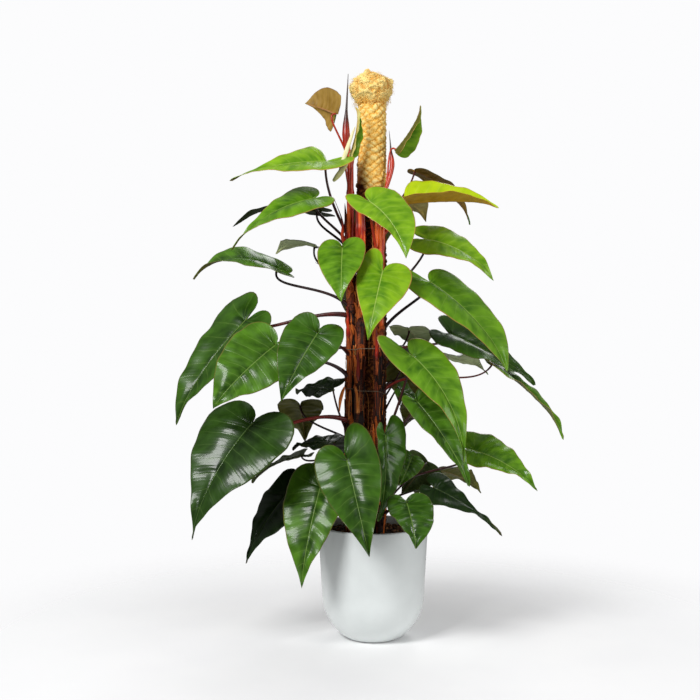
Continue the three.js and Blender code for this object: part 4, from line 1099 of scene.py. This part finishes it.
# A pale sheath: a curved strip, hollow like a gutter, that narrows to both ends
def addBract(pile, way, halfWidth, slot, tone):
    path = bezier(way, np.linspace(0, 1, 17))

    def pairAt(v, h):
        k = round(16 * v)
        ahead = Vector(path[min(k + 1, 16)] - path[max(k - 1, 0)]).normalized()
        side = ahead.cross(Vector((0, -1, 0))).normalized()
        front = side.cross(ahead).normalized()
        half = halfWidth * math.sin(math.pi * min(0.97, 0.12 + 0.85 * v)) ** 0.7
        spot = (Vector(path[k]) + side * half * math.sin(1.3 * h)
                - front * half * 0.7 * (1 - math.cos(1.3 * h)))
        crease = 0.8 * math.sin(9 * v + 2 * h)
        return spot + front * crease, spot + front * (crease - 0.7)

    pile.sheet(16, 4, pairAt, slot, tone)


# Twine is tied round all the stems, straight from one to the next
def addTie(pile, tieHeight, slope):
    line = []
    for turn in np.linspace(0, 2 * math.pi, 73):
        way = outwards(turn)
        height = tieHeight + slope * math.cos(turn)
        far = max((stemCentre(name, height) for name in stems), key=lambda centre: centre.dot(way))
        line.append(far + way * (stemBuild["radius"] + 3.2))
    pile.bar(line, [0.9] * len(line), 6, 4, 0.3)


# An air root creeps over the coir from a knot, thinning towards its end
def addRoot(pile, name, z, length, drift):
    line, radii = [], []
    start = math.radians(stems[name]["angle"])
    for k in range(26):
        t = k / 25
        angle = start + drift * math.sin(1.6 * t) + 0.05 * math.sin(9 * t + z)
        height = z - length * t * t + 4 * math.sin(7 * t + z)
        over = (1 - min(1, t / 0.15)) * 8
        line.append(onPole(pole["sleeve"] + pole["cushion"] + 1 + over, angle, height))
        radii.append(1.7 - 1.1 * t)
    pile.bar(line, radii, 6, 0, 0.25 + 0.3 * math.sin(z) ** 2)


random.seed(5)
for name, stem in stems.items():
    pile = Pile()
    angle, top = stem["angle"], stem["top"]
    heights = np.concatenate([np.arange(stem["foot"], top, stemBuild["step"]), top + np.arange(0, 15, 2.0)])
    corky = heights[heights <= stemBuild["barkTop"]]
    fleshy = heights[heights > stemBuild["barkTop"] - 12]
    for skin, part in enumerate((corky, fleshy)):
        tones = [0.45 * skin + 0.2 * z / 1000 + 0.12 * math.sin(z / 23 + angle) for z in part]
        radii = [(stemRadius(name, min(z, top)) - 0.4 * skin) * math.sqrt(1.005 - clamp((z - top) / 14) ** 2)
                 for z in part]
        pile.bar([stemCentre(name, z) for z in part], radii, stemBuild["sides"], skin, tones)
    for collar in collars[name]:
        addCollar(pile, name, *collar)
    for bract in bracts.get(name, []):
        addBract(pile, *bract)
    if name in ties:
        addTie(pile, *ties[name])
    for leaf in leafTable:
        if leaf["stem"] == name:
            addStalk(pile, leaf)
    for spear in spears.get(name, []):
        addSpear(pile, name, *spear)
    # scales overlap like shingles high up; lower down only torn strips are left, and none near the soil
    climb = min(top, stemBuild["sheathTop"]) - stem["foot"]
    sheaths = round(climb / stemBuild["internode"] * stemBuild["sheaths"])
    for k in range(5, sheaths):
        z = stem["foot"] + climb * (k + random.uniform(-0.4, 0.4)) / sheaths - 40
        away = math.radians(angle) + random.uniform(-1.6, 1.6)
        kind = shingles if z > stemBuild["shingledAbove"] else tornStrips
        height, wrap, tone, stand = (random.uniform(*ends) for ends in kind)
        addSheath(pile, name, z, away, height, wrap, stand, tone)
    for _ in range(stemBuild["fibres"]):
        z, way = random.uniform(300, min(top, 980)), math.radians(angle) + random.uniform(-1.7, 1.7)
        length, lean = random.uniform(25, 95), random.uniform(-0.25, 0.25)
        line = []
        for v in np.linspace(0, 1, 9):
            off = stemBuild["radius"] + 1.2 + random.uniform(0, 3.5) * v * v
            turn = way + lean * v + 0.06 * math.sin(9 * v + z)
            line.append(stemCentre(name, z + v * length) + outwards(turn) * off)
        pile.bar(line, [random.uniform(0.5, 1.1) * (1 - 0.6 * v) for v in np.linspace(0, 1, 9)], 5, 2,
                 random.uniform(-0.2, 0.6))
    for _ in range(stemBuild["roots"]):
        addRoot(pile, name, random.uniform(420, top - 40), random.uniform(60, 230),
                random.choice((-1, 1)) * random.uniform(0.25, 0.8))
    piece = pile.build("stem_" + name + "_skin", stemSkins)
    place(piece, "stem_" + name)
print("stems climbed")
